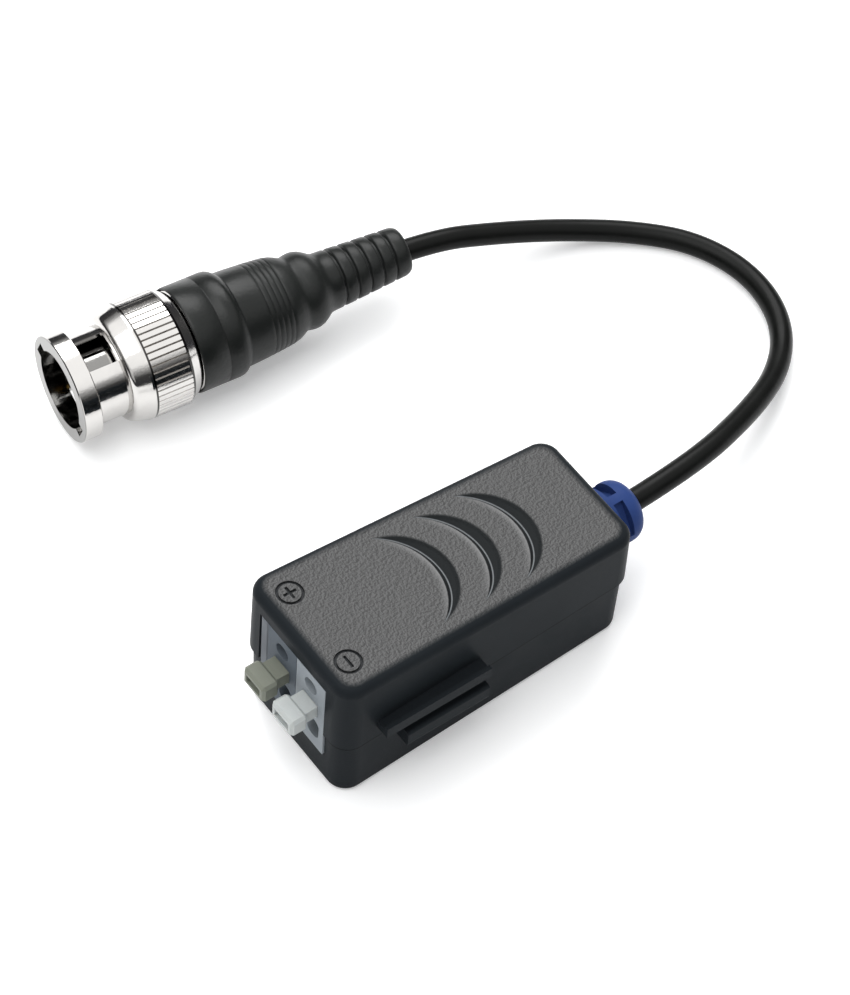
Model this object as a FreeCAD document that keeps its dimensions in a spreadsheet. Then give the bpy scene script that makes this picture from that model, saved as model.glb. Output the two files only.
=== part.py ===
import FreeCAD, Part
import math
import os
import re

import Sketcher

# Video balun: a small moulded box that joins a twisted pair to a coaxial lead with a bayonet plug.
# Frame: origin under the middle of the box on the surface it rests on, +X from the push terminals
# to the lead, +Y to the side where the plug lies, +Z up. Millimetres and degrees throughout.

Vector = FreeCAD.Vector
Rotation = FreeCAD.Rotation
Placement = FreeCAD.Placement

SIZE_ROWS = [
    # Box, both shells
    ("box_length", 41.0, "end face to end face"),
    ("box_width", 18.06, "across the sides, half way along"),
    ("side_taper", 1.5, "degrees each side leans in toward the lead"),
    ("box_height", 18.7, "top face, half way along"),
    ("top_slope", 4.0, "degrees the top falls toward the lead"),
    ("parting_height", 9.1, "joint between the two shells"),
    ("shell_draft", 0.6, "degrees of moulding draft on the sides"),
    ("corner_round", 2.4, "upright corner radius"),
    ("top_round", 1.3, "radius round the top face"),
    ("foot_round", 0.8, "radius round the base"),
    ("wall", 1.5, "side and top walls"),
    ("floor_wall", 1.6, "floor of the lower shell"),
    ("lower_inset", 0.28, "step in from the upper shell to the lower one"),
    ("lip_depth", 1.2, "tongue of the upper shell inside the lower one"),
    ("lip_wall", 0.8, "thickness of that tongue"),
    ("fit_gap", 0.08, "clearance between moulded pieces that seat together"),
    ("cutter_overrun", 1.0, "how far a cut runs past the face it opens"),
    # Marks on the top face
    ("panel_margin", 1.25, "smooth border round the grained panel"),
    ("panel_depth", 0.03, "how far the grained panel lies below the border"),
    ("panel_round", 1.4, "corner radius of the panel"),
    ("mark_inset", 3.3, "polarity marks, from the terminal end"),
    ("mark_y", 5.4, "polarity marks, off the middle line"),
    ("mark_radius", 1.62, "outer radius of the ring round a mark"),
    ("mark_line", 0.36, "line width of the marks"),
    ("mark_depth", 0.3, "depth of the marks"),
    ("plus_reach", 0.85, "half length of a stroke in a mark"),
    # Crescent grooves
    ("arc_apex", 0.3, "crown of the first crescent, along the box"),
    ("arc_pitch", 5.65, "crown to crown"),
    ("arc_half_span", 6.75, "tips off the middle line"),
    ("arc_rise", 5.8, "crown ahead of the tips"),
    ("arc_width", 2.1, "widest part of the groove"),
    ("arc_depth", 0.62, "depth of the crease"),
    ("arc_outer_share", 0.68, "part of the width taken by the wall on the lead side"),
    # Side rail and the slot that takes the next box's rail
    ("rail_reach", 2.15, "how far the rail stands off the side"),
    ("rail_front", -15.8, "upper flange, end nearer the terminals"),
    ("rail_back", -1.7, "both parts of the rail, end nearer the lead"),
    ("flange_low", 11.0, "underside of the upper flange"),
    ("flange_high", 12.6, "top of the upper flange"),
    ("flange_hook", 0.55, "upturned edge of the flange"),
    ("block_front", -12.8, "lower block, end nearer the terminals"),
    ("block_low", 6.8, "underside of the lower block"),
    ("block_round", 0.7, "rounded upper edge of the lower block"),
    ("slot_play", 0.15, "room round a rail in its slot"),
    ("slot_floor", 6.95, "back of the far side's slots, off the middle line"),
    ("slot_back", 0.65, "wall behind the slots"),
    # Terminal block
    ("block_recess", 0.1, "terminal face behind the end of the box"),
    ("module_pitch", 5.3, "one terminal to the next"),
    ("module_centre", 2.05, "middle of the first terminal off the middle line"),
    ("module_low", 5.0, "underside of the terminals, on the board"),
    ("module_drop", 1.3, "top of the terminals below the top face"),
    ("module_depth", 11.4, "terminal face to its back"),
    ("plate_wall", 1.45, "plate that closes the end of the terminal row"),
    ("probe_drop", 2.2, "test hole centre below the top of the terminals"),
    ("probe_diameter", 2.2, "test hole"),
    ("probe_depth", 4.0, "test hole"),
    ("wire_height", 8.25, "wire entry centre"),
    ("wire_offset", 0.75, "wire entry off the terminal's middle"),
    ("wire_width", 2.1, "wire entry across"),
    ("wire_tall", 3.1, "wire entry up and down"),
    ("wire_round", 0.9, "corner radius of the wire entry"),
    ("chamber_front", 2.4, "front wall of a terminal"),
    ("chamber_room", 1.15, "spring chamber above the button stem"),
    ("chamber_half", 2.0, "half width of the spring chamber"),
    ("chamber_back", 1.2, "back wall of a terminal"),
    # Push buttons
    ("button_height", 11.9, "button centre"),
    ("head_out", 3.7, "button face ahead of the end of the box"),
    ("head_length", 2.2, "button head"),
    ("head_width", 3.9, "button head"),
    ("head_tall", 2.6, "button head"),
    ("head_bevel", 0.35, "button head edges"),
    ("stem_width", 2.7, "button stem"),
    ("stem_tall", 1.9, "button stem"),
    ("stem_gap", 0.1, "running clearance round a stem"),
    ("catch_width", 3.5, "catch that keeps the button in"),
    ("catch_length", 1.0, "catch that keeps the button in"),
    ("nose_length", 1.5, "stem past the catch, up to the clamp leaf"),
    ("dish_width", 2.5, "hollow in the button face"),
    ("dish_tall", 1.2, "hollow in the button face"),
    ("dish_depth", 0.5, "hollow in the button face"),
    ("button_travel", 1.3, "how far a button is pushed in"),
    # Clamp leaf and contact in each terminal
    ("leaf_gap", 0.15, "leaf to the pushed stem"),
    ("leaf_wall", 0.3, "sheet of the clamp leaf"),
    ("leaf_width", 2.6, "clamp leaf across"),
    ("leaf_reach", 2.2, "front to back of the bent leaf"),
    ("leaf_low", 7.2, "lower edge of the front leg"),
    ("leaf_room", 0.4, "top of the bend below the chamber's"),
    ("contact_wall", 0.4, "sheet of the contact"),
    ("contact_width", 2.6, "contact across"),
    ("contact_inset", 3.8, "front edge of the contact behind the terminal face"),
    ("contact_height", 6.3, "contact under the wire"),
    ("pin_width", 0.8, "solder pin"),
    ("pin_tail", 1.0, "solder pin below the board"),
    # Circuit board and its parts
    ("board_wall", 1.2, "circuit board"),
    ("board_front_inset", 1.9, "board from the terminal end of the box"),
    ("board_back_inset", 4.3, "board from the lead end of the box"),
    ("board_half", 5.9, "half width of the board"),
    ("board_hole", 1.1, "solder holes"),
    ("ledge_length", 2.0, "ledges that carry the board"),
    ("ledge_reach", 1.9, "ledges that carry the board"),
    ("core_x", -1.6, "ferrite ring centre, along the box"),
    ("core_outer", 4.2, "ferrite ring outer radius"),
    ("core_inner", 2.1, "ferrite ring inner radius"),
    ("core_tall", 3.0, "ferrite ring height"),
    ("core_lift", 0.45, "ferrite ring above the board"),
    ("turn_wire", 0.4, "winding wire"),
    ("turn_count", 6, "turns in one winding"),
    ("turn_step", 22.0, "degrees from one turn to the next"),
    ("turn_start", 35.0, "degrees round the core, first turn"),
    ("chip_x", 6.6, "small parts, along the box"),
    ("diode_y", -4.6, "surge diode, near side"),
    ("diode_length", 4.3, "surge diode"),
    ("diode_width", 3.6, "surge diode"),
    ("diode_tall", 2.3, "surge diode"),
    ("capacitor_y", 0.6, "coupling capacitor, near side"),
    ("resistor_y", 3.4, "matching resistor, near side"),
    ("chip_length", 3.2, "capacitor and resistor"),
    ("chip_width", 1.6, "capacitor and resistor"),
    ("capacitor_tall", 1.4, "coupling capacitor"),
    ("resistor_tall", 0.6, "matching resistor"),
    ("chip_bevel", 0.1, "softened tops of the small parts"),
    ("chip_gap", 0.02, "soldered parts above the board"),
    # Lead, strain relief
    ("cord_diameter", 2.8, "lead jacket"),
    ("relief_height", 8.4, "axis of the strain relief"),
    ("relief_out", 6.35, "strain relief past the end of the box"),
    ("relief_radius", 3.8, "strain relief body"),
    ("relief_round", 2.0, "rounded outer end"),
    ("relief_neck", 3.0, "neck in the wall of the box"),
    ("relief_flange", 4.1, "flange inside the box"),
    ("relief_flange_wall", 1.4, "flange inside the box"),
    ("relief_slot", 1.3, "width of a flexing slot"),
    ("relief_slot_x", 3.35, "ring of slots, from the end of the box"),
    ("relief_slot_floor", 2.6, "slot floor from the axis"),
    ("relief_slot_half", 2.25, "half length of a slot"),
    ("relief_slot_count", 4, "slots in the ring"),
    ("relief_turn", 52.0, "degrees the slots are turned round the axis"),
    ("relief_tip_wall", 0.3, "flat left round the lead at the outer end"),
    ("jacket_inside", 1.5, "lead jacket inside the end of the box"),
    ("relief_run", 14.3, "first corner of the lead, from the end of the box"),
    ("boot_run", 48.95, "last corner of the lead, from the plug's front rim"),
    ("tail_wire", 1.0, "stripped conductors of the lead"),
    ("tail_side", 0.65, "stripped conductors off the axis"),
    ("tail_land", 1.7, "solder pads from the end of the board"),
    # Plug: distances run along its axis from the front rim
    ("plug_x", -17.36, "front rim centre"),
    ("plug_y", 50.9, "front rim centre"),
    ("plug_turn", 6.24, "degrees, plug axis clockwise from +X"),
    ("rim_radius", 6.7, "front rim of the coupling nut"),
    ("rim_length", 2.3, "front rim of the coupling nut"),
    ("rim_bevel", 0.12, "edges of the front rim"),
    ("sleeve_radius", 5.55, "sleeve behind the rim"),
    ("shoulder_start", 6.35, "where the sleeve swells into the grip"),
    ("shoulder_end", 8.7, "where the shoulder reaches the grip's radius"),
    ("shoulder_radius", 6.55, "foot of the shoulder"),
    ("shoulder_round", 0.9, "rounded foot of the shoulder"),
    ("grip_start", 9.2, "front of the knurled grip"),
    ("grip_end", 13.8, "back of the knurled grip"),
    ("grip_radius", 7.25, "grip, which is what the plug lies on"),
    ("nut_end", 15.4, "back of the coupling nut"),
    ("nut_end_radius", 6.35, "back of the coupling nut"),
    ("nut_bore", 4.87, "bore that takes the socket"),
    ("tooth_depth", 0.3, "knurl"),
    ("tooth_width", 0.22, "knurl, groove across the top"),
    ("tooth_count", 56, "knurl"),
    ("window_start", 2.4, "bayonet window"),
    ("window_end", 6.2, "bayonet window"),
    ("window_half", 2.12, "half width of the bayonet window"),
    ("window_turn", 97.0, "degrees round the axis, bayonet window"),
    ("lug_slot_half", 1.15, "half width of the bayonet entry"),
    ("lug_slot_radius", 5.75, "depth of the bayonet entry"),
    ("lug_slot_turn", 23.0, "degrees round the axis, bayonet entry"),
    ("tube_start", 2.9, "front of the outer contact"),
    ("tube_radius", 4.05, "outer contact"),
    ("tube_bore", 3.45, "outer contact"),
    ("tube_slit", 0.4, "springing slits of the outer contact"),
    ("tube_slit_length", 4.6, "springing slits of the outer contact"),
    ("flange_start", 9.6, "flange of the plug body"),
    ("flange_end", 10.8, "flange of the plug body"),
    ("neck_radius", 3.9, "plug body through the nut"),
    ("run_gap", 0.08, "radial running clearance of the nut"),
    ("spring_tall", 0.45, "dished spring washer"),
    ("spring_wall", 0.2, "dished spring washer"),
    ("washer_wall", 0.4, "thrust washer"),
    ("nut_play", 0.25, "forward travel of the nut"),
    ("nut_rest_gap", 0.05, "axial clearances at rest"),
    ("collar_start", 15.6, "bright collar behind the nut"),
    ("collar_end", 16.4, "bright collar behind the nut"),
    ("collar_radius", 6.45, "bright collar behind the nut"),
    ("stem_radius", 3.4, "plug body in the moulding"),
    ("stem_end", 19.5, "plug body in the moulding"),
    ("stem_bore", 1.6, "way for the inner conductor"),
    ("pin_radius", 0.67, "centre contact"),
    ("pin_start", 3.4, "centre contact tip"),
    ("pin_taper", 1.1, "centre contact tip"),
    ("pin_end", 17.0, "back of the centre contact"),
    ("insulator_start", 8.3, "insulator face"),
    ("insulator_end", 14.6, "insulator back"),
    ("gasket_start", 8.75, "sealing ring against the flange"),
    ("mould_radius", 4.6, "inner moulding, front"),
    ("mould_step", 28.4, "inner moulding, where it narrows"),
    ("mould_tail", 2.2, "inner moulding, back"),
    ("mould_end", 38.2, "inner moulding, where the jacket starts"),
    ("boot_start", 16.45, "front face of the boot"),
    ("boot_front", 6.64, "boot ahead of its step"),
    ("boot_line", 19.05, "fine groove round the front of the boot"),
    ("boot_step", 21.3, "where the boot steps in"),
    ("boot_step_run", 0.9, "length of that step"),
    ("boot_body", 5.95, "boot behind its step"),
    ("boot_shoulder", 5.52, "boot shoulder"),
    ("boot_shoulder_x", 28.3, "boot shoulder"),
    ("boot_turn", 5.25, "boot where it turns into its groove"),
    ("boot_turn_x", 29.6, "boot where it turns into its groove"),
    ("boot_groove", 4.65, "groove ahead of the tail"),
    ("boot_groove_x", 30.9, "groove ahead of the tail"),
    ("boot_bulge", 4.82, "bulge ahead of the ribs"),
    ("boot_bulge_x", 32.4, "bulge ahead of the ribs"),
    ("boot_bevel", 0.3, "ends of the boot"),
    ("tail_start", 34.6, "ribbed tail"),
    ("tail_start_radius", 3.72, "ribbed tail"),
    ("tail_end", 45.8, "ribbed tail"),
    ("tail_end_radius", 3.05, "ribbed tail"),
    ("rib_pitch", 1.8, "ribbed tail"),
    ("rib_gap", 0.55, "groove between ribs"),
    ("rib_depth", 0.35, "groove between ribs"),
    ("rib_count", 5, "grooves on the tail"),
]

ALIASES = {row[0] for row in SIZE_ROWS}

# Places that follow from the sizes
FITTED = {
    "mark_x": "(-box_length / 2 + mark_inset)",
    "module_high": "(box_height - module_drop)",
    "probe_height": "(module_high - probe_drop)",
    "chamber_high": "(button_height + stem_tall / 2 + chamber_room)",
    "leaf_high": "(chamber_high - leaf_room)",
    "contact_front": "(-box_length / 2 + block_recess + contact_inset)",
    "board_front": "(-box_length / 2 + board_front_inset)",
    "board_back": "(box_length / 2 - board_back_inset)",
}

# Corners of the lead's free route, from the strain relief to the boot
CORD_ROUTE = [
    (50.0, 4.7, 4.8),
    (58.5, 9.4, 2.4),
    (63.4, 15.5, 1.6),
    (64.7, 23.1, 1.4),
    (62.2, 30.6, 1.4),
    (56.9, 36.2, 1.4),
    (49.8, 40.4, 2.3),
    (42.0, 43.1, 4.3),
]
ARC_SHARE = 0.45

document = FreeCAD.newDocument("video_balun")
sizes = document.addObject("Spreadsheet::Sheet", "Sizes")
nodes = []


# Sizes and expressions


def fill_sheet():
    """Write every driving size into the sheet."""
    for row, (alias, value, meaning) in enumerate(SIZE_ROWS, start=1):
        sizes.set("A%d" % row, alias)
        sizes.set("B%d" % row, str(value))
        sizes.setAlias("B%d" % row, alias)
        sizes.set("C%d" % row, meaning)
    document.recompute()


def linked(text):
    """Expression text with each size pointed at its cell and each fitted place worked out."""

    def point(match):
        word = match.group(0)
        if word in FITTED:
            return linked(FITTED[word])
        return "Sizes." + word if word in ALIASES else word

    return re.sub(r"[a-z][a-z_]*", point, str(text))


def number(text):
    """Present value of an expression in the sizes."""
    result = sizes.evalExpression(linked(text))
    return float(getattr(result, "Value", result))


def bind(item, prop, text):
    """Tie a property to an expression in the sizes."""
    item.setExpression(prop, linked(text))


# Sketches


def origin_item(body, role):
    return [item for item in body.Origin.OriginFeatures if item.Role == role][0]


def new_body(name):
    body = document.addObject("PartDesign::Body", name)
    body.Label = name
    return body


def new_sketch(body, name, role, shift=None):
    """Sketch on one of the body's origin planes, moved along its normal."""
    sketch = body.newObject("Sketcher::SketchObject", name)
    sketch.AttachmentSupport = [(origin_item(body, role), "")]
    sketch.MapMode = "FlatFace"
    if shift is not None:
        bind(sketch, "AttachmentOffset.Base.z", shift)
    return sketch


def tilted_sketch(body, name):
    """Sketch lying in the sloping top face of the box."""
    sketch = new_sketch(body, name, "XY_Plane", "box_height")
    sketch.AttachmentOffset = Placement(Vector(0, 0, number("box_height")), Rotation(Vector(0, 1, 0), 1.0))
    bind(sketch, "AttachmentOffset.Base.z", "box_height")
    bind(sketch, "AttachmentOffset.Rotation.Angle", "top_slope")
    return sketch


def place_point(sketch, geo, pos, across, up, tag):
    """Hold a sketch point by its two distances from the sketch's origin."""
    if across == "0":
        sketch.addConstraint(Sketcher.Constraint("PointOnObject", geo, pos, -2))
    else:
        index = sketch.addConstraint(Sketcher.Constraint("DistanceX", -1, 1, geo, pos, number(across)))
        sketch.renameConstraint(index, tag + "_across")
        bind(sketch, "Constraints." + tag + "_across", across)
    if up == "0":
        sketch.addConstraint(Sketcher.Constraint("PointOnObject", geo, pos, -1))
    else:
        index = sketch.addConstraint(Sketcher.Constraint("DistanceY", -1, 1, geo, pos, number(up)))
        sketch.renameConstraint(index, tag + "_up")
        bind(sketch, "Constraints." + tag + "_up", up)


def outline(sketch, corners):
    """Closed outline of straight edges through the given corners."""
    first = sketch.GeometryCount
    spots = [Vector(number(across), number(up), 0) for across, up in corners]
    total = len(spots)
    for index in range(total):
        sketch.addGeometry(Part.LineSegment(spots[index], spots[(index + 1) % total]))
    for index in range(total):
        follow = first + (index + 1) % total
        sketch.addConstraint(Sketcher.Constraint("Coincident", first + index, 2, follow, 1))
    for index, (across, up) in enumerate(corners):
        place_point(sketch, first + index, 1, across, up, "corner%d" % (first + index))
    return sketch


def rounded_outline(sketch, corners, radius):
    """Closed convex outline whose corners, given anticlockwise, are rounded by arcs."""
    first = sketch.GeometryCount
    spots = [Vector(number(across), number(up), 0) for across, up in corners]
    total = len(spots)
    size = number(radius)
    starts, ends = [], []
    for index in range(total):
        before = (spots[index - 1] - spots[index]).normalize()
        after = (spots[(index + 1) % total] - spots[index]).normalize()
        setback = size / math.tan(before.getAngle(after) / 2)
        starts.append(spots[index] + before * setback)
        ends.append(spots[index] + after * setback)
    for index in range(total):
        sketch.addGeometry(Part.LineSegment(ends[index], starts[(index + 1) % total]))
    for index in range(total):
        before = (spots[index - 1] - spots[index]).normalize()
        after = (spots[(index + 1) % total] - spots[index]).normalize()
        middle = (before + after).normalize()
        centre = spots[index] + middle * (size / math.sin(before.getAngle(after) / 2))
        sketch.addGeometry(Part.Arc(starts[index], centre - middle * size, ends[index]))
    for index in range(total):
        sketch.addGeometry(Part.Point(spots[index]), True)
    for index, (across, up) in enumerate(corners):
        line_in = first + (index - 1) % total
        line_out = first + index
        arc = first + total + index
        spot = first + 2 * total + index
        place_point(sketch, spot, 1, across, up, "corner%d" % spot)
        sketch.addConstraint(Sketcher.Constraint("PointOnObject", spot, 1, line_in))
        sketch.addConstraint(Sketcher.Constraint("PointOnObject", spot, 1, line_out))
        sketch.addConstraint(Sketcher.Constraint("Tangent", line_in, 2, arc, 1))
        sketch.addConstraint(Sketcher.Constraint("Tangent", arc, 2, line_out, 1))
        tag = "round%d" % index
        held = sketch.addConstraint(Sketcher.Constraint("Radius", arc, size))
        sketch.renameConstraint(held, tag + "_of%d" % first)
        bind(sketch, "Constraints." + tag + "_of%d" % first, radius)
    return sketch


def box_outline(sketch, left, right, low, high):
    """Rectangle between two widths and two heights."""
    return outline(sketch, [(left, low), (right, low), (right, high), (left, high)])


def round_outline(sketch, across, up, radius):
    """Circle held by its centre and radius."""
    centre = Vector(number(across), number(up), 0)
    geo = sketch.addGeometry(Part.Circle(centre, Vector(0, 0, 1), number(radius)))
    place_point(sketch, geo, 3, across, up, "centre%d" % geo)
    index = sketch.addConstraint(Sketcher.Constraint("Radius", geo, number(radius)))
    sketch.renameConstraint(index, "radius%d" % geo)
    bind(sketch, "Constraints.radius%d" % geo, radius)
    return sketch


# Solid features


def solid_feature(body, kind, sketch, length, both, flip, draft):
    item = body.newObject(kind, sketch.Name + "_solid")
    item.Profile = sketch
    item.Reversed = flip
    if both:
        item.SideType = "Symmetric"
    bind(item, "Length", length)
    if draft:
        bind(item, "TaperAngle", draft)
    sketch.Visibility = False
    document.recompute()
    return item


def pad(body, sketch, length, both=False, flip=False, draft=None):
    """Raise material from a sketch; the volume has to grow."""
    before = body.Shape.Volume if body.Shape.Solids else 0.0
    item = solid_feature(body, "PartDesign::Pad", sketch, length, both, flip, draft)
    if body.Shape.Volume <= before:
        raise ValueError("nothing added by " + item.Name)
    return item


def pocket(body, sketch, length, both=False, flip=False):
    """Cut a sketch into the body; the volume has to shrink."""
    before = body.Shape.Volume
    item = solid_feature(body, "PartDesign::Pocket", sketch, length, both, flip, None)
    if body.Shape.Volume >= before:
        raise ValueError("nothing cut by " + item.Name)
    return item


def revolve(body, sketch):
    """Turn a half section about the sketch's horizontal axis."""
    item = body.newObject("PartDesign::Revolution", sketch.Name + "_turned")
    item.Profile = sketch
    item.ReferenceAxis = (sketch, ["H_Axis"])
    item.Angle = 360.0
    sketch.Visibility = False
    document.recompute()
    return item


def around(body, feature, count, role="X_Axis"):
    """Repeat a feature evenly round an axis of the body."""
    item = body.newObject("PartDesign::PolarPattern", feature.Name + "_ring")
    item.Originals = [feature]
    item.Axis = (origin_item(body, role), [""])
    item.Angle = 360.0
    bind(item, "Occurrences", count)
    body.Tip = item
    document.recompute()
    return item


def edge_names(shape, wanted):
    return ["Edge%d" % index for index, edge in enumerate(shape.Edges, start=1) if wanted(edge)]


def dress(body, kind, name, wanted, prop, size):
    """Round or bevel the edges that a test picks out."""
    base = body.Tip
    item = body.newObject(kind, name)
    names = edge_names(base.Shape, wanted)
    if not names:
        raise ValueError("no edge found for " + name)
    item.Base = (base, names)
    bind(item, prop, size)
    document.recompute()
    return item


def round_edges(body, name, wanted, radius):
    return dress(body, "PartDesign::Fillet", name, wanted, "Radius", radius)


def bevel_edges(body, name, wanted, size):
    return dress(body, "PartDesign::Chamfer", name, wanted, "Size", size)


def is_upright(edge):
    """Nearly vertical straight edge."""
    if len(edge.Vertexes) != 2:
        return False
    run = edge.Vertexes[1].Point - edge.Vertexes[0].Point
    return run.Length > 1.0 and abs(run.z) > 0.98 * run.Length


def keep(item):
    """List a finished piece for export."""
    nodes.append(item)
    return item


# Shared geometry of the box

FRONT_HALF = "(box_width / 2 + box_length / 2 * tan(side_taper))"
BACK_HALF = "(box_width / 2 - box_length / 2 * tan(side_taper))"
TOP_LOW = "(box_height - box_length / 2 * tan(top_slope))"
TOP_HIGH = "(box_height + box_length / 2 * tan(top_slope))"
FACE_X = "(-box_length / 2 + block_recess)"
GREY_Y = "module_centre"
WHITE_Y = "(module_centre - module_pitch)"
MODULE_HALF = "(module_pitch / 2 - fit_gap / 2)"
OPENING_LEFT = "(module_centre - module_pitch * 1.5 - fit_gap)"
OPENING_RIGHT = "(module_centre + module_pitch / 2 + plate_wall + fit_gap)"
OPENING_LOW = "(module_low - fit_gap)"
OPENING_HIGH = "(module_high + fit_gap)"
BOARD_TOP = "module_low"
BOARD_LOW = "(module_low - board_wall)"


def plan_outline(sketch, inset):
    """Tapered plan of the box, moved in by an inset all round."""
    reach = "(box_length / 2 - (%s))" % inset
    front = "(%s - (%s))" % (FRONT_HALF, inset)
    back = "(%s - (%s))" % (BACK_HALF, inset)
    corners = [("-" + reach, "-" + front), (reach, "-" + back), (reach, back), ("-" + reach, front)]
    return outline(sketch, corners)


def cut_openings(body, tag):
    """Terminal opening in one end and the strain relief's hole in the other."""
    depth = "wall + lower_inset + lip_wall + 2 * cutter_overrun"
    window = new_sketch(body, tag + "_terminal_opening", "YZ_Plane", "-box_length / 2 - cutter_overrun")
    box_outline(window, OPENING_LEFT, OPENING_RIGHT, OPENING_LOW, OPENING_HIGH)
    pocket(body, window, depth, flip=True)
    hole = new_sketch(body, tag + "_relief_hole", "YZ_Plane", "box_length / 2 + cutter_overrun")
    round_outline(hole, "0", "relief_height", "relief_neck + fit_gap")
    pocket(body, hole, depth)


def slot_boss(body, tag, front, low, high):
    """Thickened stretch of the far wall, from low to high, that the rail slots are cut into."""
    sketch = new_sketch(body, tag, "XY_Plane", low)
    box_outline(sketch, front + " - slot_play - slot_back", "rail_back + slot_play + slot_back",
                "slot_floor - slot_back", "box_width / 2 - wall / 2")
    pad(body, sketch, "%s - %s" % (high, low))


def cut_slot(body, tag, front, low, high):
    """Slot in the far side that takes the next box's rail."""
    sketch = new_sketch(body, tag, "XZ_Plane", "-slot_floor")
    box_outline(sketch, front + " - slot_play", "rail_back + slot_play",
                low + " - slot_play", high + " + slot_play")
    pocket(body, sketch, "2 * wall + cutter_overrun")


def upper_shell():
    """Upper shell with its sloping top, tongue, rail flange and marks."""
    body = new_body("housing_top_body")
    plan = plan_outline(new_sketch(body, "top_plan", "XY_Plane", "parting_height"), "0")
    pad(body, plan, TOP_HIGH + " + cutter_overrun - parting_height", draft="-shell_draft")
    round_edges(body, "top_corners", is_upright, "corner_round")

    reach = "(box_length / 2 + cutter_overrun)"
    drop = "(%s * tan(top_slope))" % reach
    slope = outline(new_sketch(body, "top_slope_cut", "XZ_Plane"), [
        ("-" + reach, "box_height + " + drop),
        (reach, "box_height - " + drop),
        (reach, TOP_HIGH + " + 2 * cutter_overrun"),
        ("-" + reach, TOP_HIGH + " + 2 * cutter_overrun"),
    ])
    pocket(body, slope, "box_width * 2", both=True)
    lean = number("top_slope")

    def on_top(edge):
        height = number("box_height") - edge.CenterOfMass.x * math.tan(math.radians(lean))
        return abs(edge.CenterOfMass.z - height) < 0.05

    round_edges(body, "top_rounds", on_top, "top_round")

    cavity = plan_outline(new_sketch(body, "top_cavity", "XY_Plane", "parting_height"), "wall")
    pocket(body, cavity, TOP_LOW + " - wall - parting_height", flip=True)
    inner = "(box_length / 2 - wall)"
    fall = "(%s * tan(top_slope))" % inner
    roof = outline(new_sketch(body, "top_roof", "XZ_Plane"), [
        ("-" + inner, TOP_LOW + " - wall - cutter_overrun"),
        (inner, TOP_LOW + " - wall - cutter_overrun"),
        (inner, "box_height - wall - " + fall),
        ("-" + inner, "box_height - wall + " + fall),
    ])
    pocket(body, roof, "2 * max(%s - wall - lip_wall; %s)" % (BACK_HALF, OPENING_RIGHT), both=True)

    tongue_face = "wall + lower_inset + fit_gap"
    tongue = new_sketch(body, "tongue", "XY_Plane", "parting_height - lip_depth")
    plan_outline(tongue, tongue_face)
    plan_outline(tongue, tongue_face + " + lip_wall")
    pad(body, tongue, "2 * lip_depth")
    root = new_sketch(body, "tongue_root", "XY_Plane", "parting_height")
    plan_outline(root, "wall - fit_gap")
    plan_outline(root, tongue_face + " + lip_wall")
    pad(body, root, "lip_depth")

    flange = new_sketch(body, "rail_flange", "YZ_Plane", "rail_front")
    outer = "(-(box_width / 2 + rail_reach))"
    buried = "(-(box_width / 2 - wall / 2))"
    outline(flange, [
        (outer, "flange_low"),
        (buried, "flange_low"),
        (buried, "flange_high - flange_hook"),
        (outer + " + flange_hook", "flange_high - flange_hook"),
        (outer + " + flange_hook", "flange_high"),
        (outer, "flange_high"),
    ])
    pad(body, flange, "rail_back - rail_front")
    relief = new_sketch(body, "tongue_relief", "XY_Plane", "parting_height")
    box_outline(relief, "rail_front - 2 * slot_back", "rail_back + 2 * slot_back",
                "slot_floor - slot_back - lip_wall", "box_width / 2")
    pocket(body, relief, "lip_depth + cutter_overrun")
    slot_boss(body, "flange_boss", "rail_front", "parting_height", "(flange_high + slot_play + slot_back)")
    cut_slot(body, "flange_slot", "rail_front", "flange_low", "flange_high")
    cut_openings(body, "top")

    panel = tilted_sketch(body, "panel")
    margin = "(panel_margin + tan(shell_draft) * (box_height - parting_height))"
    side = "(box_length / 2 - %s)" % margin
    wide, narrow = "(%s - %s)" % (FRONT_HALF, margin), "(%s - %s)" % (BACK_HALF, margin)
    corners = [("-" + side, "-" + wide), (side, "-" + narrow), (side, narrow), ("-" + side, wide)]
    rounded_outline(panel, corners, "panel_round")
    pocket(body, panel, "panel_depth")

    depth = "panel_depth + mark_depth"
    for tag, place in (("plus", "mark_y"), ("minus", "(-mark_y)")):
        ring = tilted_sketch(body, tag + "_ring")
        round_outline(ring, "mark_x", place, "mark_radius")
        round_outline(ring, "mark_x", place, "mark_radius - mark_line")
        pocket(body, ring, depth)
        bar = tilted_sketch(body, tag + "_bar")
        box_outline(bar, "mark_x - mark_line / 2", "mark_x + mark_line / 2",
                    place + " - plus_reach", place + " + plus_reach")
        pocket(body, bar, depth)
    stroke = tilted_sketch(body, "plus_stroke")
    box_outline(stroke, "mark_x - plus_reach", "mark_x + plus_reach",
                "mark_y - mark_line / 2", "mark_y + mark_line / 2")
    pocket(body, stroke, depth)
    return body


def top_cone(name, middle, radius, growth):
    """Cone standing on the sloping top: its radius there, and how it grows downward."""
    sunk = "(panel_depth + 1.5 * arc_depth)"
    cone = document.addObject("Part::Cone", name)
    bind(cone, "Radius1", "%s + (%s) * (%s - panel_depth)" % (radius, growth, sunk))
    bind(cone, "Radius2", "%s - (%s) * (cutter_overrun + panel_depth)" % (radius, growth))
    bind(cone, "Height", sunk + " + cutter_overrun")
    cone.Placement = Placement(Vector(0, 0, 0), Rotation(Vector(0, 1, 0), 1.0))
    bind(cone, "Placement.Rotation.Angle", "top_slope")
    bind(cone, "Placement.Base.x", "(%s) * cos(top_slope) - %s * sin(top_slope)" % (middle, sunk))
    bind(cone, "Placement.Base.z", "box_height - (%s) * sin(top_slope) - %s * cos(top_slope)" % (middle, sunk))
    return cone


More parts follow.
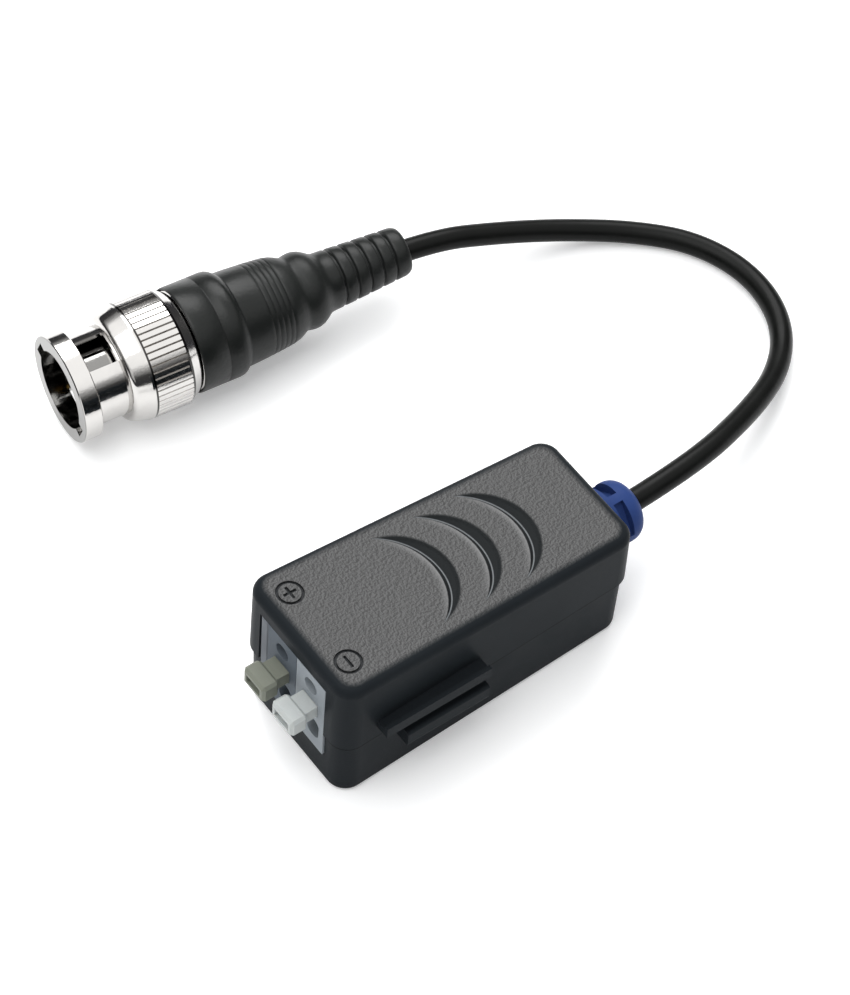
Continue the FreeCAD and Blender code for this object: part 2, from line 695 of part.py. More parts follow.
def crescent_cutters():
    """Three V-shaped crescents, each the space between two offset cones."""
    outer_radius = "((arc_half_span ^ 2 + arc_rise ^ 2) / (2 * arc_rise))"
    inner_rise = "(arc_rise - arc_width)"
    inner_radius = "((arc_half_span ^ 2 + %s ^ 2) / (2 * %s))" % (inner_rise, inner_rise)
    outer_growth = "(-arc_outer_share * arc_width / arc_depth)"
    inner_growth = "((1 - arc_outer_share) * arc_width / arc_depth)"
    cutters = []
    for index in range(3):
        apex = "(arc_apex + %d * arc_pitch)" % index
        outer = top_cone("crescent_outer%d" % index, "%s - %s" % (apex, outer_radius),
                         outer_radius, outer_growth)
        inner = top_cone("crescent_inner%d" % index, "%s - arc_width - %s" % (apex, inner_radius),
                         inner_radius, inner_growth)
        cutter = document.addObject("Part::Cut", "crescent%d" % index)
        cutter.Base = outer
        cutter.Tool = inner
        cutters.append(cutter)
    joined = document.addObject("Part::MultiFuse", "crescents")
    joined.Shapes = cutters
    return joined


def housing_top():
    """Upper shell with the crescent grooves cut into its top."""
    shell = document.addObject("Part::Cut", "housing_top")
    shell.Label = "housing_top"
    shell.Base = upper_shell()
    shell.Tool = crescent_cutters()
    document.recompute()
    return keep(shell)


def housing_bottom():
    """Lower shell with the board ledges and the lower block of the rail."""
    body = new_body("housing_bottom")
    plan = plan_outline(new_sketch(body, "base_plan", "XY_Plane", "parting_height"), "lower_inset")
    pad(body, plan, "parting_height", flip=True, draft="-shell_draft")
    round_edges(body, "base_corners", is_upright, "corner_round")
    round_edges(body, "foot", lambda edge: edge.BoundBox.ZMax < 0.05, "foot_round")
    cavity = plan_outline(new_sketch(body, "base_cavity", "XY_Plane", "parting_height"), "lower_inset + wall")
    pocket(body, cavity, "parting_height - floor_wall")

    ledges = (("front", "board_front + 1.5 * ledge_length"), ("back", "board_back - 2.5 * ledge_length"))
    for tag, front in ledges:
        for side, sign in (("far", ""), ("near", "-")):
            edge = "(board_half - ledge_reach)"
            ledge = new_sketch(body, "ledge_%s_%s" % (tag, side), "XY_Plane", "floor_wall - lower_inset")
            box_outline(ledge, front, front + " + ledge_length", sign + edge,
                        sign + "(%s - wall)" % BACK_HALF)
            pad(body, ledge, BOARD_LOW + " - floor_wall + lower_inset")

    block = new_sketch(body, "rail_block", "YZ_Plane", "block_front")
    rounded_outline(block, [
        ("(-(box_width / 2 + rail_reach))", "block_low"),
        ("(-(box_width / 2 - wall / 2))", "block_low"),
        ("(-(box_width / 2 - wall / 2))", "parting_height"),
        ("(-(box_width / 2 + rail_reach))", "parting_height"),
    ], "min(block_round; wall / 4)")
    pad(body, block, "rail_back - block_front")
    slot_boss(body, "block_boss", "block_front", "(block_low - slot_play - slot_back)", "parting_height")
    cut_slot(body, "block_slot", "block_front", "block_low", "parting_height")
    cut_openings(body, "base")
    return keep(body)


# Terminal block


def terminal_module(name, middle):
    """One push terminal: test hole, button slide, wire entry and spring chamber."""
    body = new_body(name)
    front = new_sketch(body, name + "_face", "YZ_Plane", FACE_X)
    box_outline(front, "%s - %s" % (middle, MODULE_HALF), "%s + %s" % (middle, MODULE_HALF),
                "module_low", "module_high")
    pad(body, front, "module_depth")
    probe = round_outline(new_sketch(body, name + "_probe", "YZ_Plane", FACE_X), middle,
                          "probe_height", "probe_diameter / 2")
    pocket(body, probe, "probe_depth", flip=True)
    slide = new_sketch(body, name + "_slide", "YZ_Plane", FACE_X)
    wide, tall = "(stem_width / 2 + stem_gap)", "(stem_tall / 2 + stem_gap)"
    box_outline(slide, "%s - %s" % (middle, wide), "%s + %s" % (middle, wide),
                "button_height - " + tall, "button_height + " + tall)
    pocket(body, slide, "chamber_front + cutter_overrun", flip=True)
    entry = new_sketch(body, name + "_entry", "YZ_Plane", FACE_X)
    left = "(%s - wire_offset - wire_width / 2)" % middle
    right = "(%s - wire_offset + wire_width / 2)" % middle
    low, high = "(wire_height - wire_tall / 2)", "(wire_height + wire_tall / 2)"
    rounded_outline(entry, [(left, low), (right, low), (right, high), (left, high)], "wire_round")
    pocket(body, entry, "chamber_front + cutter_overrun", flip=True)
    chamber = new_sketch(body, name + "_chamber", "XY_Plane", "chamber_high")
    box_outline(chamber, FACE_X + " + chamber_front", FACE_X + " + module_depth - chamber_back",
                middle + " - chamber_half", middle + " + chamber_half")
    pocket(body, chamber, "chamber_high - module_low + cutter_overrun")
    return keep(body)


def end_plate():
    """Plate that closes the open side of the terminal row."""
    body = new_body("terminal_end_plate")
    face = new_sketch(body, "plate_face", "YZ_Plane", FACE_X)
    start = "(module_centre + module_pitch / 2)"
    box_outline(face, start, start + " + plate_wall", "module_low", "module_high")
    pad(body, face, "module_depth")
    front = number(FACE_X)
    bevel_edges(body, "plate_bevel",
                lambda edge: is_upright(edge) and abs(edge.CenterOfMass.x - front) < 0.01, "plate_wall / 6")
    return keep(body)


def button(name, middle):
    """Push button: head with a dished face, stem, and the catch inside the terminal."""
    body = new_body(name)
    front = "(-box_length / 2 - head_out)"

    def block(tag, start, width, tall, length):
        sketch = new_sketch(body, name + tag, "YZ_Plane", start)
        box_outline(sketch, "%s - %s / 2" % (middle, width), "%s + %s / 2" % (middle, width),
                    "button_height - %s / 2" % tall, "button_height + %s / 2" % tall)
        return pad(body, sketch, length)

    block("_head", front, "head_width", "head_tall", "head_length")
    bevel_edges(body, name + "_bevel", lambda edge: edge.Length > 1.0, "head_bevel")
    catch_start = "(%s + chamber_front + nut_rest_gap)" % FACE_X
    stem_end = "(%s + catch_length + nose_length)" % catch_start
    block("_stem", front + " + head_length / 2", "stem_width", "stem_tall",
          "%s - %s - head_length / 2" % (stem_end, front))
    block("_catch", catch_start, "catch_width", "stem_tall", "catch_length")
    dish = new_sketch(body, name + "_dish", "YZ_Plane", front)
    box_outline(dish, middle + " - dish_width / 2", middle + " + dish_width / 2",
                "button_height - dish_tall / 2", "button_height + dish_tall / 2")
    pocket(body, dish, "dish_depth", flip=True)
    return keep(body)


STEM_END = "(%s + chamber_front + nut_rest_gap + catch_length + nose_length)" % FACE_X
LEAF_FRONT = "(%s + button_travel + leaf_gap)" % STEM_END
LEAF_BACK = "(%s + leaf_reach)" % LEAF_FRONT


def clamp_leaf(name, middle):
    """Bent leaf spring behind the button's stem."""
    body = new_body(name)
    side = new_sketch(body, name + "_side", "XZ_Plane", "-(%s)" % middle)
    outline(side, [
        (LEAF_FRONT, "leaf_low"),
        (LEAF_FRONT + " + leaf_wall", "leaf_low"),
        (LEAF_FRONT + " + leaf_wall", "leaf_high - leaf_wall"),
        (LEAF_BACK + " - leaf_wall", "leaf_high - leaf_wall"),
        (LEAF_BACK + " - leaf_wall", "contact_height"),
        (LEAF_BACK, "contact_height"),
        (LEAF_BACK, "leaf_high"),
        (LEAF_FRONT, "leaf_high"),
    ])
    pad(body, side, "leaf_width", both=True)
    outer_high = number("leaf_high")
    round_edges(body, name + "_bend", lambda edge: abs(edge.CenterOfMass.z - outer_high) < 0.01
                and edge.BoundBox.YLength > 1.0 and edge.BoundBox.XLength < 0.01, "leaf_wall")
    return keep(body)


def contact(name, middle):
    """Contact under the wire, with its upright behind the leaf and the solder pin."""
    body = new_body(name)
    back = "(%s + nut_rest_gap)" % LEAF_BACK
    side = new_sketch(body, name + "_side", "XZ_Plane", "-(%s)" % middle)
    outline(side, [
        ("contact_front", "contact_height - contact_wall"),
        (back + " + contact_wall", "contact_height - contact_wall"),
        (back + " + contact_wall", "leaf_high - 2 * leaf_wall"),
        (back, "leaf_high - 2 * leaf_wall"),
        (back, "contact_height"),
        ("contact_front", "contact_height"),
    ])
    pad(body, side, "contact_width", both=True)
    pin = new_sketch(body, name + "_pin", "XY_Plane", "contact_height - contact_wall / 2")
    box_outline(pin, "contact_front + pin_width", "contact_front + 2 * pin_width",
                middle + " - pin_width / 2", middle + " + pin_width / 2")
    pad(body, pin, "contact_height - contact_wall / 2 - %s + pin_tail" % BOARD_LOW, flip=True)
    return keep(body)


# Circuit board and what is soldered to it


def circuit_board():
    """Board with the holes for the two solder pins."""
    body = new_body("circuit_board")
    plate = new_sketch(body, "board_plan", "XY_Plane", BOARD_LOW)
    box_outline(plate, "board_front", "board_back", "-board_half", "board_half")
    pad(body, plate, "board_wall - chip_gap")
    for tag, middle in (("grey", GREY_Y), ("white", WHITE_Y)):
        hole = new_sketch(body, "pin_hole_" + tag, "XY_Plane", BOARD_TOP)
        round_outline(hole, "contact_front + 1.5 * pin_width", middle, "board_hole / 2 + pin_width / 8")
        pocket(body, hole, "board_wall")
    return keep(body)


def ferrite_core():
    """Ring core of the balun transformer."""
    body = new_body("ferrite_core")
    ring = new_sketch(body, "core_ring", "XY_Plane", BOARD_TOP + " + core_lift")
    round_outline(ring, "core_x", "0", "core_outer")
    round_outline(ring, "core_x", "0", "core_inner")
    pad(body, ring, "core_tall")
    rims = [number("core_outer"), number("core_inner")]

    def is_rim(edge):
        return any(abs(edge.Length - 2 * math.pi * rim) < 0.01 for rim in rims)

    bevel_edges(body, "core_bevel", is_rim, "core_lift / 2")
    return keep(body)


def winding(name, start_turn):
    """Square-cornered turns of enamelled wire round one half of the core."""
    wire = number("turn_wire")
    air = number("fit_gap")
    inner, outer = number("core_inner"), number("core_outer")
    low = number(BOARD_TOP + " + core_lift")
    high = low + number("core_tall")
    turns = []
    for index in range(int(number("turn_count"))):
        loop = Part.makeBox(outer - inner + 2 * (air + wire), wire, high - low + 2 * (air + wire / 1.2),
                            Vector(inner - air - wire, -wire / 2, low - air - wire / 1.2))
        gap = Part.makeBox(outer - inner + 2 * air, 2 * wire, high - low + 2 * air,
                           Vector(inner - air, -wire, low - air))
        turn = loop.cut(gap)
        turn.rotate(Vector(0, 0, 0), Vector(0, 0, 1), start_turn + number("turn_step") * index)
        turn.translate(Vector(number("core_x"), 0, 0))
        turns.append(turn)
    coil = document.addObject("Part::Feature", name)
    coil.Label = name
    coil.Shape = Part.makeCompound(turns)
    return keep(coil)


def chip_part(name, side, length, width, tall):
    """Soldered chip part with a softened top."""
    body = new_body(name)
    plan = new_sketch(body, name + "_plan", "XY_Plane", BOARD_TOP)
    box_outline(plan, "chip_x", "chip_x + " + length, side, "%s + %s" % (side, width))
    pad(body, plan, tall)
    top = body.Shape.BoundBox.ZMax
    bevel_edges(body, name + "_bevel", lambda edge: edge.BoundBox.ZMin > top - 0.01, "chip_bevel")
    return keep(body)


# Strain relief and lead


def strain_relief():
    """Moulded relief: inner flange, neck in the wall and a domed barrel with flexing slots."""
    body = new_body("strain_relief")
    back = "(box_length / 2)"
    start = "(%s - wall - lower_inset - lip_wall - fit_gap - relief_flange_wall)" % back
    bore = "(cord_diameter / 2)"
    outer = "(%s + relief_out)" % back
    section = new_sketch(body, "relief_section", "XZ_Plane")
    outline(section, [
        (start, bore),
        (outer, bore),
        (outer, "relief_radius"),
        (back + " + fit_gap", "relief_radius"),
        (back + " + fit_gap", "relief_neck"),
        (start + " + relief_flange_wall", "relief_neck"),
        (start + " + relief_flange_wall", "relief_flange"),
        (start, "relief_flange"),
    ])
    revolve(body, section)
    tip, rim = number(outer), number("relief_radius")

    def on_tip(edge):
        return abs(edge.CenterOfMass.x - tip) < 0.01 and edge.BoundBox.ZLength > 2 * rim - 0.1

    room = "relief_radius - cord_diameter / 2 - relief_tip_wall"
    round_edges(body, "relief_tip", on_tip, "min(relief_round; %s)" % room)
    middle = "(%s + relief_slot_x)" % back
    slot = new_sketch(body, "relief_slot", "XY_Plane", "relief_slot_floor")
    box_outline(slot, middle + " - relief_slot / 2", middle + " + relief_slot / 2",
                "-relief_slot_half", "relief_slot_half")
    around(body, pocket(body, slot, "relief_radius", flip=True), "relief_slot_count")
    body.Placement = Placement(Vector(0, 0, 0), Rotation(Vector(1, 0, 0), 1.0))
    bind(body, "Placement.Rotation.Angle", "relief_turn")
    bind(body, "Placement.Base.z", "relief_height")
    return keep(body)


def relief_spot(distance):
    """Point on the strain relief's axis, by its distance from the end of the box."""
    return Vector(number("box_length / 2") + distance, 0, number("relief_height"))


def plug_spot(distance):
    """Point on the plug's axis, by its distance from the front rim."""
    turn = math.radians(number("plug_turn"))
    along = Vector(math.cos(turn), -math.sin(turn), 0)
    return Vector(number("plug_x"), number("plug_y"), number("grip_radius")) + along * distance


def cord_path():
    """Straight runs joined by tangent arcs, with the arcs' radii."""
    spots = [relief_spot(-number("jacket_inside")), relief_spot(number("relief_run"))]
    spots += [Vector(*spot) for spot in CORD_ROUTE]
    spots += [plug_spot(number("boot_run")), plug_spot(number("mould_end"))]
    runs = [(spots[index + 1] - spots[index]).Length for index in range(len(spots) - 1)]
    edges = []
    radii = []
    last = spots[0]
    for index in range(1, len(spots) - 1):
        here = spots[index]
        arriving = (here - spots[index - 1]).normalize()
        leaving = (spots[index + 1] - here).normalize()
        half_turn = arriving.getAngle(leaving) / 2
        setback = ARC_SHARE * min(runs[index - 1], runs[index])
        radius = setback / math.tan(half_turn)
        start = here - arriving * setback
        end = here + leaving * setback
        inward = (leaving - arriving).normalize()
        middle = here + inward * (radius / math.cos(half_turn) - radius)
        edges.append(Part.LineSegment(last, start).toShape())
        edges.append(Part.Arc(start, middle, end).toShape())
        radii.append(radius)
        last = end
    edges.append(Part.LineSegment(last, spots[-1]).toShape())
    return Part.Wire(edges), radii


def cable():
    """Lead jacket swept along its route."""
    path, radii = cord_path()
    radius = number("cord_diameter") / 2
    start = relief_spot(-number("jacket_inside"))
    section = Part.Wire([Part.makeCircle(radius, start, Vector(1, 0, 0))])
    tube = path.makePipeShell([section], True, True)
    expected = math.pi * radius ** 2 * path.Length
    if abs(tube.Volume - expected) > 0.005 * expected:
        raise ValueError("lead volume differs from its section times its length")
    print("lead length %.1f, arc radii %s" % (path.Length, ", ".join("%.1f" % r for r in radii)))
    lead = document.addObject("Part::Feature", "cable")
    lead.Label = "cable"
    lead.Shape = tube
    return keep(lead)


def lead_tail(name, side):
    """Stripped end of the lead, bent down to its pad on the board."""
    start = relief_spot(-number("jacket_inside + chip_gap")) + Vector(0, side, 0)
    knee = Vector(number("board_back - tail_land"), side, start.z)
    land = Vector(knee.x, side, number(BOARD_TOP))
    bend = number("tail_wire") * 1.5
    centre = knee + Vector(bend, 0, -bend)
    middle = centre + Vector(-bend, 0, bend) / math.sqrt(2)
    first, second = knee + Vector(bend, 0, 0), knee - Vector(0, 0, bend)
    path = Part.Wire([
        Part.LineSegment(start, first).toShape(),
        Part.Arc(first, middle, second).toShape(),
        Part.LineSegment(second, land).toShape(),
    ])
    section = Part.Wire([Part.makeCircle(number("tail_wire") / 2, start, Vector(-1, 0, 0))])
    tail = document.addObject("Part::Feature", name)
    tail.Label = name
    tail.Shape = path.makePipeShell([section], True, True)
    return keep(tail)


# Plug, drawn along its own axis with the front rim at its origin

# Inner face of the nut's back wall, behind the spring washer, the nut's travel and the thrust washer
NUT_WALL = "(flange_end + spring_tall + nut_play + washer_wall + 2 * nut_rest_gap)"


def lay_plug(body):
    """Put a plug piece where the plug lies."""
    body.Placement = Placement(Vector(0, 0, 0), Rotation(Vector(0, 0, -1), 1.0))
    bind(body, "Placement.Rotation.Angle", "plug_turn")
    bind(body, "Placement.Base.x", "plug_x")
    bind(body, "Placement.Base.y", "plug_y")
    bind(body, "Placement.Base.z", "grip_radius")
    return keep(body)


def turned_part(name, section):
    """Plug piece made by turning a half section."""
    body = new_body(name)
    revolve(body, outline(new_sketch(body, name + "_section", "XZ_Plane"), section))
    return body


def cut_knurl(body):
    """Straight knurl: one V groove repeated round the grip."""
    tooth = new_sketch(body, "knurl_groove", "YZ_Plane", "grip_start")
    half = "(180 / tooth_count)"
    top = "grip_radius * cos(%s) + tooth_depth" % half
    outline(tooth, [
        ("grip_radius * sin(%s)" % half, "grip_radius * cos(%s) - tooth_depth" % half),
        ("grip_radius * sin(%s) + tooth_width" % half, top),
        ("grip_radius * sin(%s) - tooth_width" % half, top),
    ])
    groove = pocket(body, tooth, "grip_end - grip_start", flip=True)
    around(body, groove, "tooth_count")


def cut_bayonet(body):
    """Two windows in the sleeve and the two entries through the rim that lead to them."""
    window = new_sketch(body, "bayonet_window", "XZ_Plane")
    window.AttachmentOffset = Placement(Vector(0, 0, 0), Rotation(Vector(-1, 0, 0), 1.0))
    bind(window, "AttachmentOffset.Rotation.Angle", "180 - window_turn")
    bind(window, "AttachmentOffset.Base.y", "tube_radius * sin(180 - window_turn)")
    bind(window, "AttachmentOffset.Base.z", "tube_radius * cos(180 - window_turn)")
    box_outline(window, "window_start", "window_end", "-window_half", "window_half")
    around(body, pocket(body, window, "rim_radius", flip=True), "2")
    entry = new_sketch(body, "bayonet_entry", "YZ_Plane", "-cutter_overrun")
    entry.AttachmentOffset = Placement(Vector(0, 0, 0), Rotation(Vector(0, 0, 1), 1.0))
    bind(entry, "AttachmentOffset.Base.z", "-cutter_overrun")
    bind(entry, "AttachmentOffset.Rotation.Angle", "lug_slot_turn")
    box_outline(entry, "tube_radius", "lug_slot_radius", "-lug_slot_half", "lug_slot_half")
    around(body, pocket(body, entry, "rim_length + cutter_overrun", flip=True), "2")


def coupling_nut():
    """Bayonet nut: rim, windowed sleeve, rounded shoulder, knurled grip and back wall."""
    back_bore = "(neck_radius + run_gap)"
    body = turned_part("coupling_nut", [
        ("0", "nut_bore"),
        (NUT_WALL, "nut_bore"),
        (NUT_WALL, back_bore),
        ("nut_end", back_bore),
        ("nut_end", "nut_end_radius"),
        ("grip_end", "grip_radius"),
        ("shoulder_end", "grip_radius"),
        ("shoulder_start", "shoulder_radius"),
        ("shoulder_start", "sleeve_radius"),
        ("rim_length", "sleeve_radius"),
        ("rim_length", "rim_radius"),
        ("0", "rim_radius"),
    ])
    start, crown = number("shoulder_start"), number("shoulder_radius")
    rim = number("rim_radius")

    def on_shoulder(edge):
        return abs(edge.CenterOfMass.x - start) < 0.01 and abs(edge.BoundBox.ZMax - crown) < 0.01

    def on_rim(edge):
        return edge.BoundBox.XLength < 0.01 and abs(edge.BoundBox.ZMax - rim) < 0.01

    round_edges(body, "shoulder", on_shoulder, "shoulder_round")
    bevel_edges(body, "rim_edges", on_rim, "rim_bevel")
    cut_knurl(body)
    cut_bayonet(body)
    return lay_plug(body)


def plug_body():
    """Outer contact, flange, neck through the nut, bright collar and stem, in one turned piece."""
    body = turned_part("plug_body", [
        ("tube_start", "tube_bore"),
        ("insulator_end", "tube_bore"),
        ("insulator_end", "stem_bore"),
        ("stem_end", "stem_bore"),
        ("stem_end", "stem_radius"),
        ("collar_end", "stem_radius"),
        ("collar_end", "collar_radius"),
        ("collar_start", "collar_radius"),
        ("collar_start", "neck_radius"),
        ("flange_end", "neck_radius"),
        ("flange_end", "nut_bore - run_gap"),
        ("flange_start", "nut_bore - run_gap"),
        ("flange_start", "tube_radius"),
        ("tube_start", "tube_radius"),
    ])
    rim = number("collar_radius")
    bevel_edges(body, "collar_edges", lambda edge: edge.BoundBox.XLength < 0.01
                and abs(edge.BoundBox.ZMax - rim) < 0.01, "(collar_end - collar_start) / 3")
    slit = new_sketch(body, "tube_slit", "XY_Plane")
    box_outline(slit, "tube_start - cutter_overrun", "tube_start + tube_slit_length",
                "-tube_slit / 2", "tube_slit / 2")
    around(body, pocket(body, slit, "nut_bore", flip=True), "4")
    return lay_plug(body)


def plug_insides():
    """Centre contact, insulator, sealing ring and the two washers behind the flange."""
    hole = "(pin_radius + chip_gap)"
    lay_plug(turned_part("plug_pin", [
        ("pin_start", "0"),
        ("pin_start + pin_taper", "pin_radius"),
        ("pin_end", "pin_radius"),
        ("pin_end", "0"),
    ]))
    lay_plug(turned_part("plug_insulator", [
        ("insulator_start", hole),
        ("insulator_end - chip_gap", hole),
        ("insulator_end - chip_gap", "tube_bore - chip_gap"),
        ("insulator_start", "tube_bore - chip_gap"),
    ]))
    lay_plug(turned_part("plug_gasket", [
        ("gasket_start", "tube_radius + chip_gap"),
        ("flange_start - chip_gap", "tube_radius + chip_gap"),
        ("flange_start - chip_gap", "nut_bore - 3 * run_gap"),
        ("gasket_start", "nut_bore - 3 * run_gap"),
    ]))
    washer_bore, washer_rim = "(neck_radius + run_gap)", "(nut_bore - run_gap)"
    lay_plug(turned_part("spring_washer", [
        ("flange_end + chip_gap", washer_bore),
        ("flange_end + chip_gap + spring_wall", washer_bore),
        ("flange_end + spring_tall", washer_rim + " - run_gap"),
        ("flange_end + spring_tall - spring_wall", washer_rim + " - run_gap"),
    ]))
    face = "(%s - nut_rest_gap)" % NUT_WALL
    lay_plug(turned_part("thrust_washer", [
        (face + " - washer_wall", washer_bore),
        (face, washer_bore),
        (face, washer_rim),
        (face + " - washer_wall", washer_rim),
    ]))


def inner_moulding():
    """Hard moulding that holds the plug body's stem and the end of the lead inside the boot."""
    start = "(collar_end + chip_gap)"
    body = turned_part("inner_moulding", [
        (start, "stem_radius + chip_gap"),
        ("stem_end + chip_gap", "stem_radius + chip_gap"),
        ("stem_end + chip_gap", "0"),
        ("mould_end", "0"),
        ("mould_end", "mould_tail"),
        ("mould_step", "mould_tail"),
        ("mould_step", "mould_radius"),
        (start, "mould_radius"),
    ])
    return lay_plug(body)


def boot():
    """Flexible boot: stepped barrel, groove, bulge and a ribbed tail round the lead."""
    slope = "((tail_end_radius - tail_start_radius) / (tail_end - tail_start))"

    def tail_radius(place):
        return "(tail_start_radius + %s * (%s - tail_start))" % (slope, place)

    outer = [
        ("boot_start", "boot_front"),
        ("boot_line", "boot_front"),
        ("boot_line + rib_gap / 4", "boot_front - rib_depth / 4"),
        ("boot_line + rib_gap / 2", "boot_front"),
        ("boot_step", "boot_front"),
        ("boot_step + boot_step_run", "boot_body"),
        ("boot_shoulder_x", "boot_shoulder"),
        ("boot_turn_x", "boot_turn"),
        ("boot_groove_x", "boot_groove"),
        ("boot_bulge_x", "boot_bulge"),
        ("tail_start", "tail_start_radius"),
    ]
    for index in range(int(number("rib_count"))):
        near = "(tail_start + rib_pitch * %d.5)" % index
        far = "(%s + rib_gap)" % near
        outer += [
            (near, tail_radius(near)),
            (near + " + rib_gap / 2", tail_radius(near) + " - rib_depth"),
            (far, tail_radius(far)),
        ]
    outer.append(("tail_end", "tail_end_radius"))
    bore = "(mould_radius + chip_gap)"
    narrow = "(mould_tail + chip_gap)"
    inner = [
        ("tail_end", "cord_diameter / 2"),
        ("mould_end + chip_gap", "cord_diameter / 2"),
        ("mould_end + chip_gap", narrow),
        ("mould_step + chip_gap", narrow),
        ("mould_step + chip_gap", bore),
        ("boot_start", bore),
    ]
    body = turned_part("boot", list(reversed(outer + inner)))
    start, end = number("boot_start"), number("tail_end")
    front, tip = number("boot_front"), number("tail_end_radius")

    def at_an_end(edge):
        return any(abs(edge.CenterOfMass.x - place) < 0.01 and abs(edge.BoundBox.ZMax - rim) < 0.01
                   for place, rim in ((start, front), (end, tip)))

    bevel_edges(body, "boot_ends", at_an_end, "boot_bevel")
    return lay_plug(body)


# Build, check and write


def check_document():
    """Stop if any object failed or any piece is not a sound solid."""
    document.recompute()
    broken = [item.Name for item in document.Objects if "Invalid" in item.State or "Error" in item.State]
    if broken:
        raise ValueError("failed objects: " + ", ".join(broken))
    for item in nodes:
        if item.Shape.isNull() or not item.Shape.isValid() or not item.Shape.Solids:
            raise ValueError("unsound piece: " + item.Label)


def write_parts():
    """Write each piece to its own file and print what it holds."""
    os.makedirs("parts", exist_ok=True)
    for item in nodes:
        item.Shape.exportStep(os.path.join("parts", item.Label + ".step"))
        print("%-22s %d solid(s), %.1f mm3" % (item.Label, len(item.Shape.Solids), item.Shape.Volume))


def build():
    """Make every piece."""
    fill_sheet()
    housing_top()
    housing_bottom()
    for colour, middle in (("grey", GREY_Y), ("white", WHITE_Y)):
        terminal_module("terminal_" + colour, middle)
        button("button_" + colour, middle)
        clamp_leaf("clamp_leaf_" + colour, middle)
        contact("contact_" + colour, middle)
    end_plate()
    circuit_board()
    ferrite_core()
    winding("winding_pair_side", number("turn_start"))
    winding("winding_coax_side", number("turn_start") + 180)
    chip_part("surge_diode", "diode_y", "diode_length", "diode_width", "diode_tall")
    chip_part("coupling_capacitor", "capacitor_y", "chip_length", "chip_width", "capacitor_tall")
    chip_part("matching_resistor", "resistor_y", "chip_length", "chip_width", "resistor_tall")
    strain_relief()
    cable()
    lead_tail("lead_core", -number("tail_side"))
    lead_tail("lead_screen", number("tail_side"))
    coupling_nut()
    plug_body()
    plug_insides()
    inner_moulding()
    boot()
    check_document()
    write_parts()


build()
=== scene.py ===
import logging
import math
from dataclasses import dataclass
from enum import Enum
from typing import Any, Optional, Sequence, Union

import bpy
from mathutils import Matrix, Vector

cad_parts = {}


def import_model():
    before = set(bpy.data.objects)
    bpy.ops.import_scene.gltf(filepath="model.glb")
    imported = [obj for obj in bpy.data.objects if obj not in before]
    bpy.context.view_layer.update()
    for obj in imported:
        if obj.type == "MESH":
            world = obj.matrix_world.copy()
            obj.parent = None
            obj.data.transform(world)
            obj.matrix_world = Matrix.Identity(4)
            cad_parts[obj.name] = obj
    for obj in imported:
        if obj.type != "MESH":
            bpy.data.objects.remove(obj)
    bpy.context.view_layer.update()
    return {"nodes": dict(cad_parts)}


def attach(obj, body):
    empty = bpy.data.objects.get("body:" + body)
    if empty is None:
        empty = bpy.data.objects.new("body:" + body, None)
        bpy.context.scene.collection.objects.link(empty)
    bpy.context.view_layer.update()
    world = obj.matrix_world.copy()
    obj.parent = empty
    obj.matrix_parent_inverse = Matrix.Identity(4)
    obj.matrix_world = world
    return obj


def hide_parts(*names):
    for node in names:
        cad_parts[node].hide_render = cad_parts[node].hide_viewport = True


# Dresses a small video balun: a moulded box with push terminals, a short lead and a bayonet plug.
# Lengths in the classes are in millimetres, as on a drawing; all that is built is in metres.

logging.basicConfig(level=logging.INFO, format="%(message)s")
log = logging.getLogger("balun")

MM = 0.001
Point = tuple[float, float, float]
Colour = tuple[float, float, float, float]
Linkable = Union[float, int, Sequence[float], bpy.types.NodeSocket]
Nodes = dict[str, bpy.types.Object]
Pieces = list[bpy.types.Object]

# Middle of the plug's front rim, and its turn in degrees, clockwise from +X seen from above
PLUG_RIM: Point = (-17.36, 50.9, 7.25)
PLUG_TURN = 6.24
# Where most values of a noise pattern lie
NOISE_RANGE = (0.3, 0.7)


# Helpers


def colour(hex_value: str) -> Colour:
    """Turn an sRGB hex colour into the linear colour that shaders take.

    Args:
        hex_value: Six hex digits with a leading #.

    Returns:
        Linear red, green, blue and an alpha of 1.
    """
    channels = [int(hex_value[i:i + 2], 16) / 255 for i in (1, 3, 5)]
    linear = [c / 12.92 if c <= 0.04045 else ((c + 0.055) / 1.055) ** 2.4 for c in channels]
    return (linear[0], linear[1], linear[2], 1.0)


def per_mm(size: float) -> float:
    """Pattern scale, per metre, of a feature of this size in millimetres."""
    return 1.0 / (size * MM)


def add_node(tree: bpy.types.NodeTree, kind: str, settings: Optional[dict[str, Any]] = None,
             inputs: Optional[dict[Union[str, int], Linkable]] = None) -> bpy.types.Node:
    """Add one shader node with its settings, values and links.

    Args:
        tree: Node tree of the material or the world.
        kind: Node type without its ShaderNode prefix.
        settings: Properties to set on the node.
        inputs: Each input's name or index, with a value or another node's output.

    Returns:
        The new node.
    """
    node = tree.nodes.new("ShaderNode" + kind)
    for name, value in (settings or {}).items():
        setattr(node, name, value)
    for name, value in (inputs or {}).items():
        if isinstance(value, bpy.types.NodeSocket):
            tree.links.new(value, node.inputs[name])
        else:
            node.inputs[name].default_value = value
    return node


def link_object(name: str, data: Any) -> bpy.types.Object:
    """Put a mesh, curve, light or camera into the scene.

    Args:
        name: Name of the new object.
        data: What it shows.

    Returns:
        The new object.
    """
    thing = bpy.data.objects.new(name, data)
    bpy.context.scene.collection.objects.link(thing)
    return thing


def dress(target: bpy.types.Object, material: bpy.types.Material) -> None:
    """Give a piece one material in place of all that it has."""
    target.data.materials.clear()
    target.data.materials.append(material)


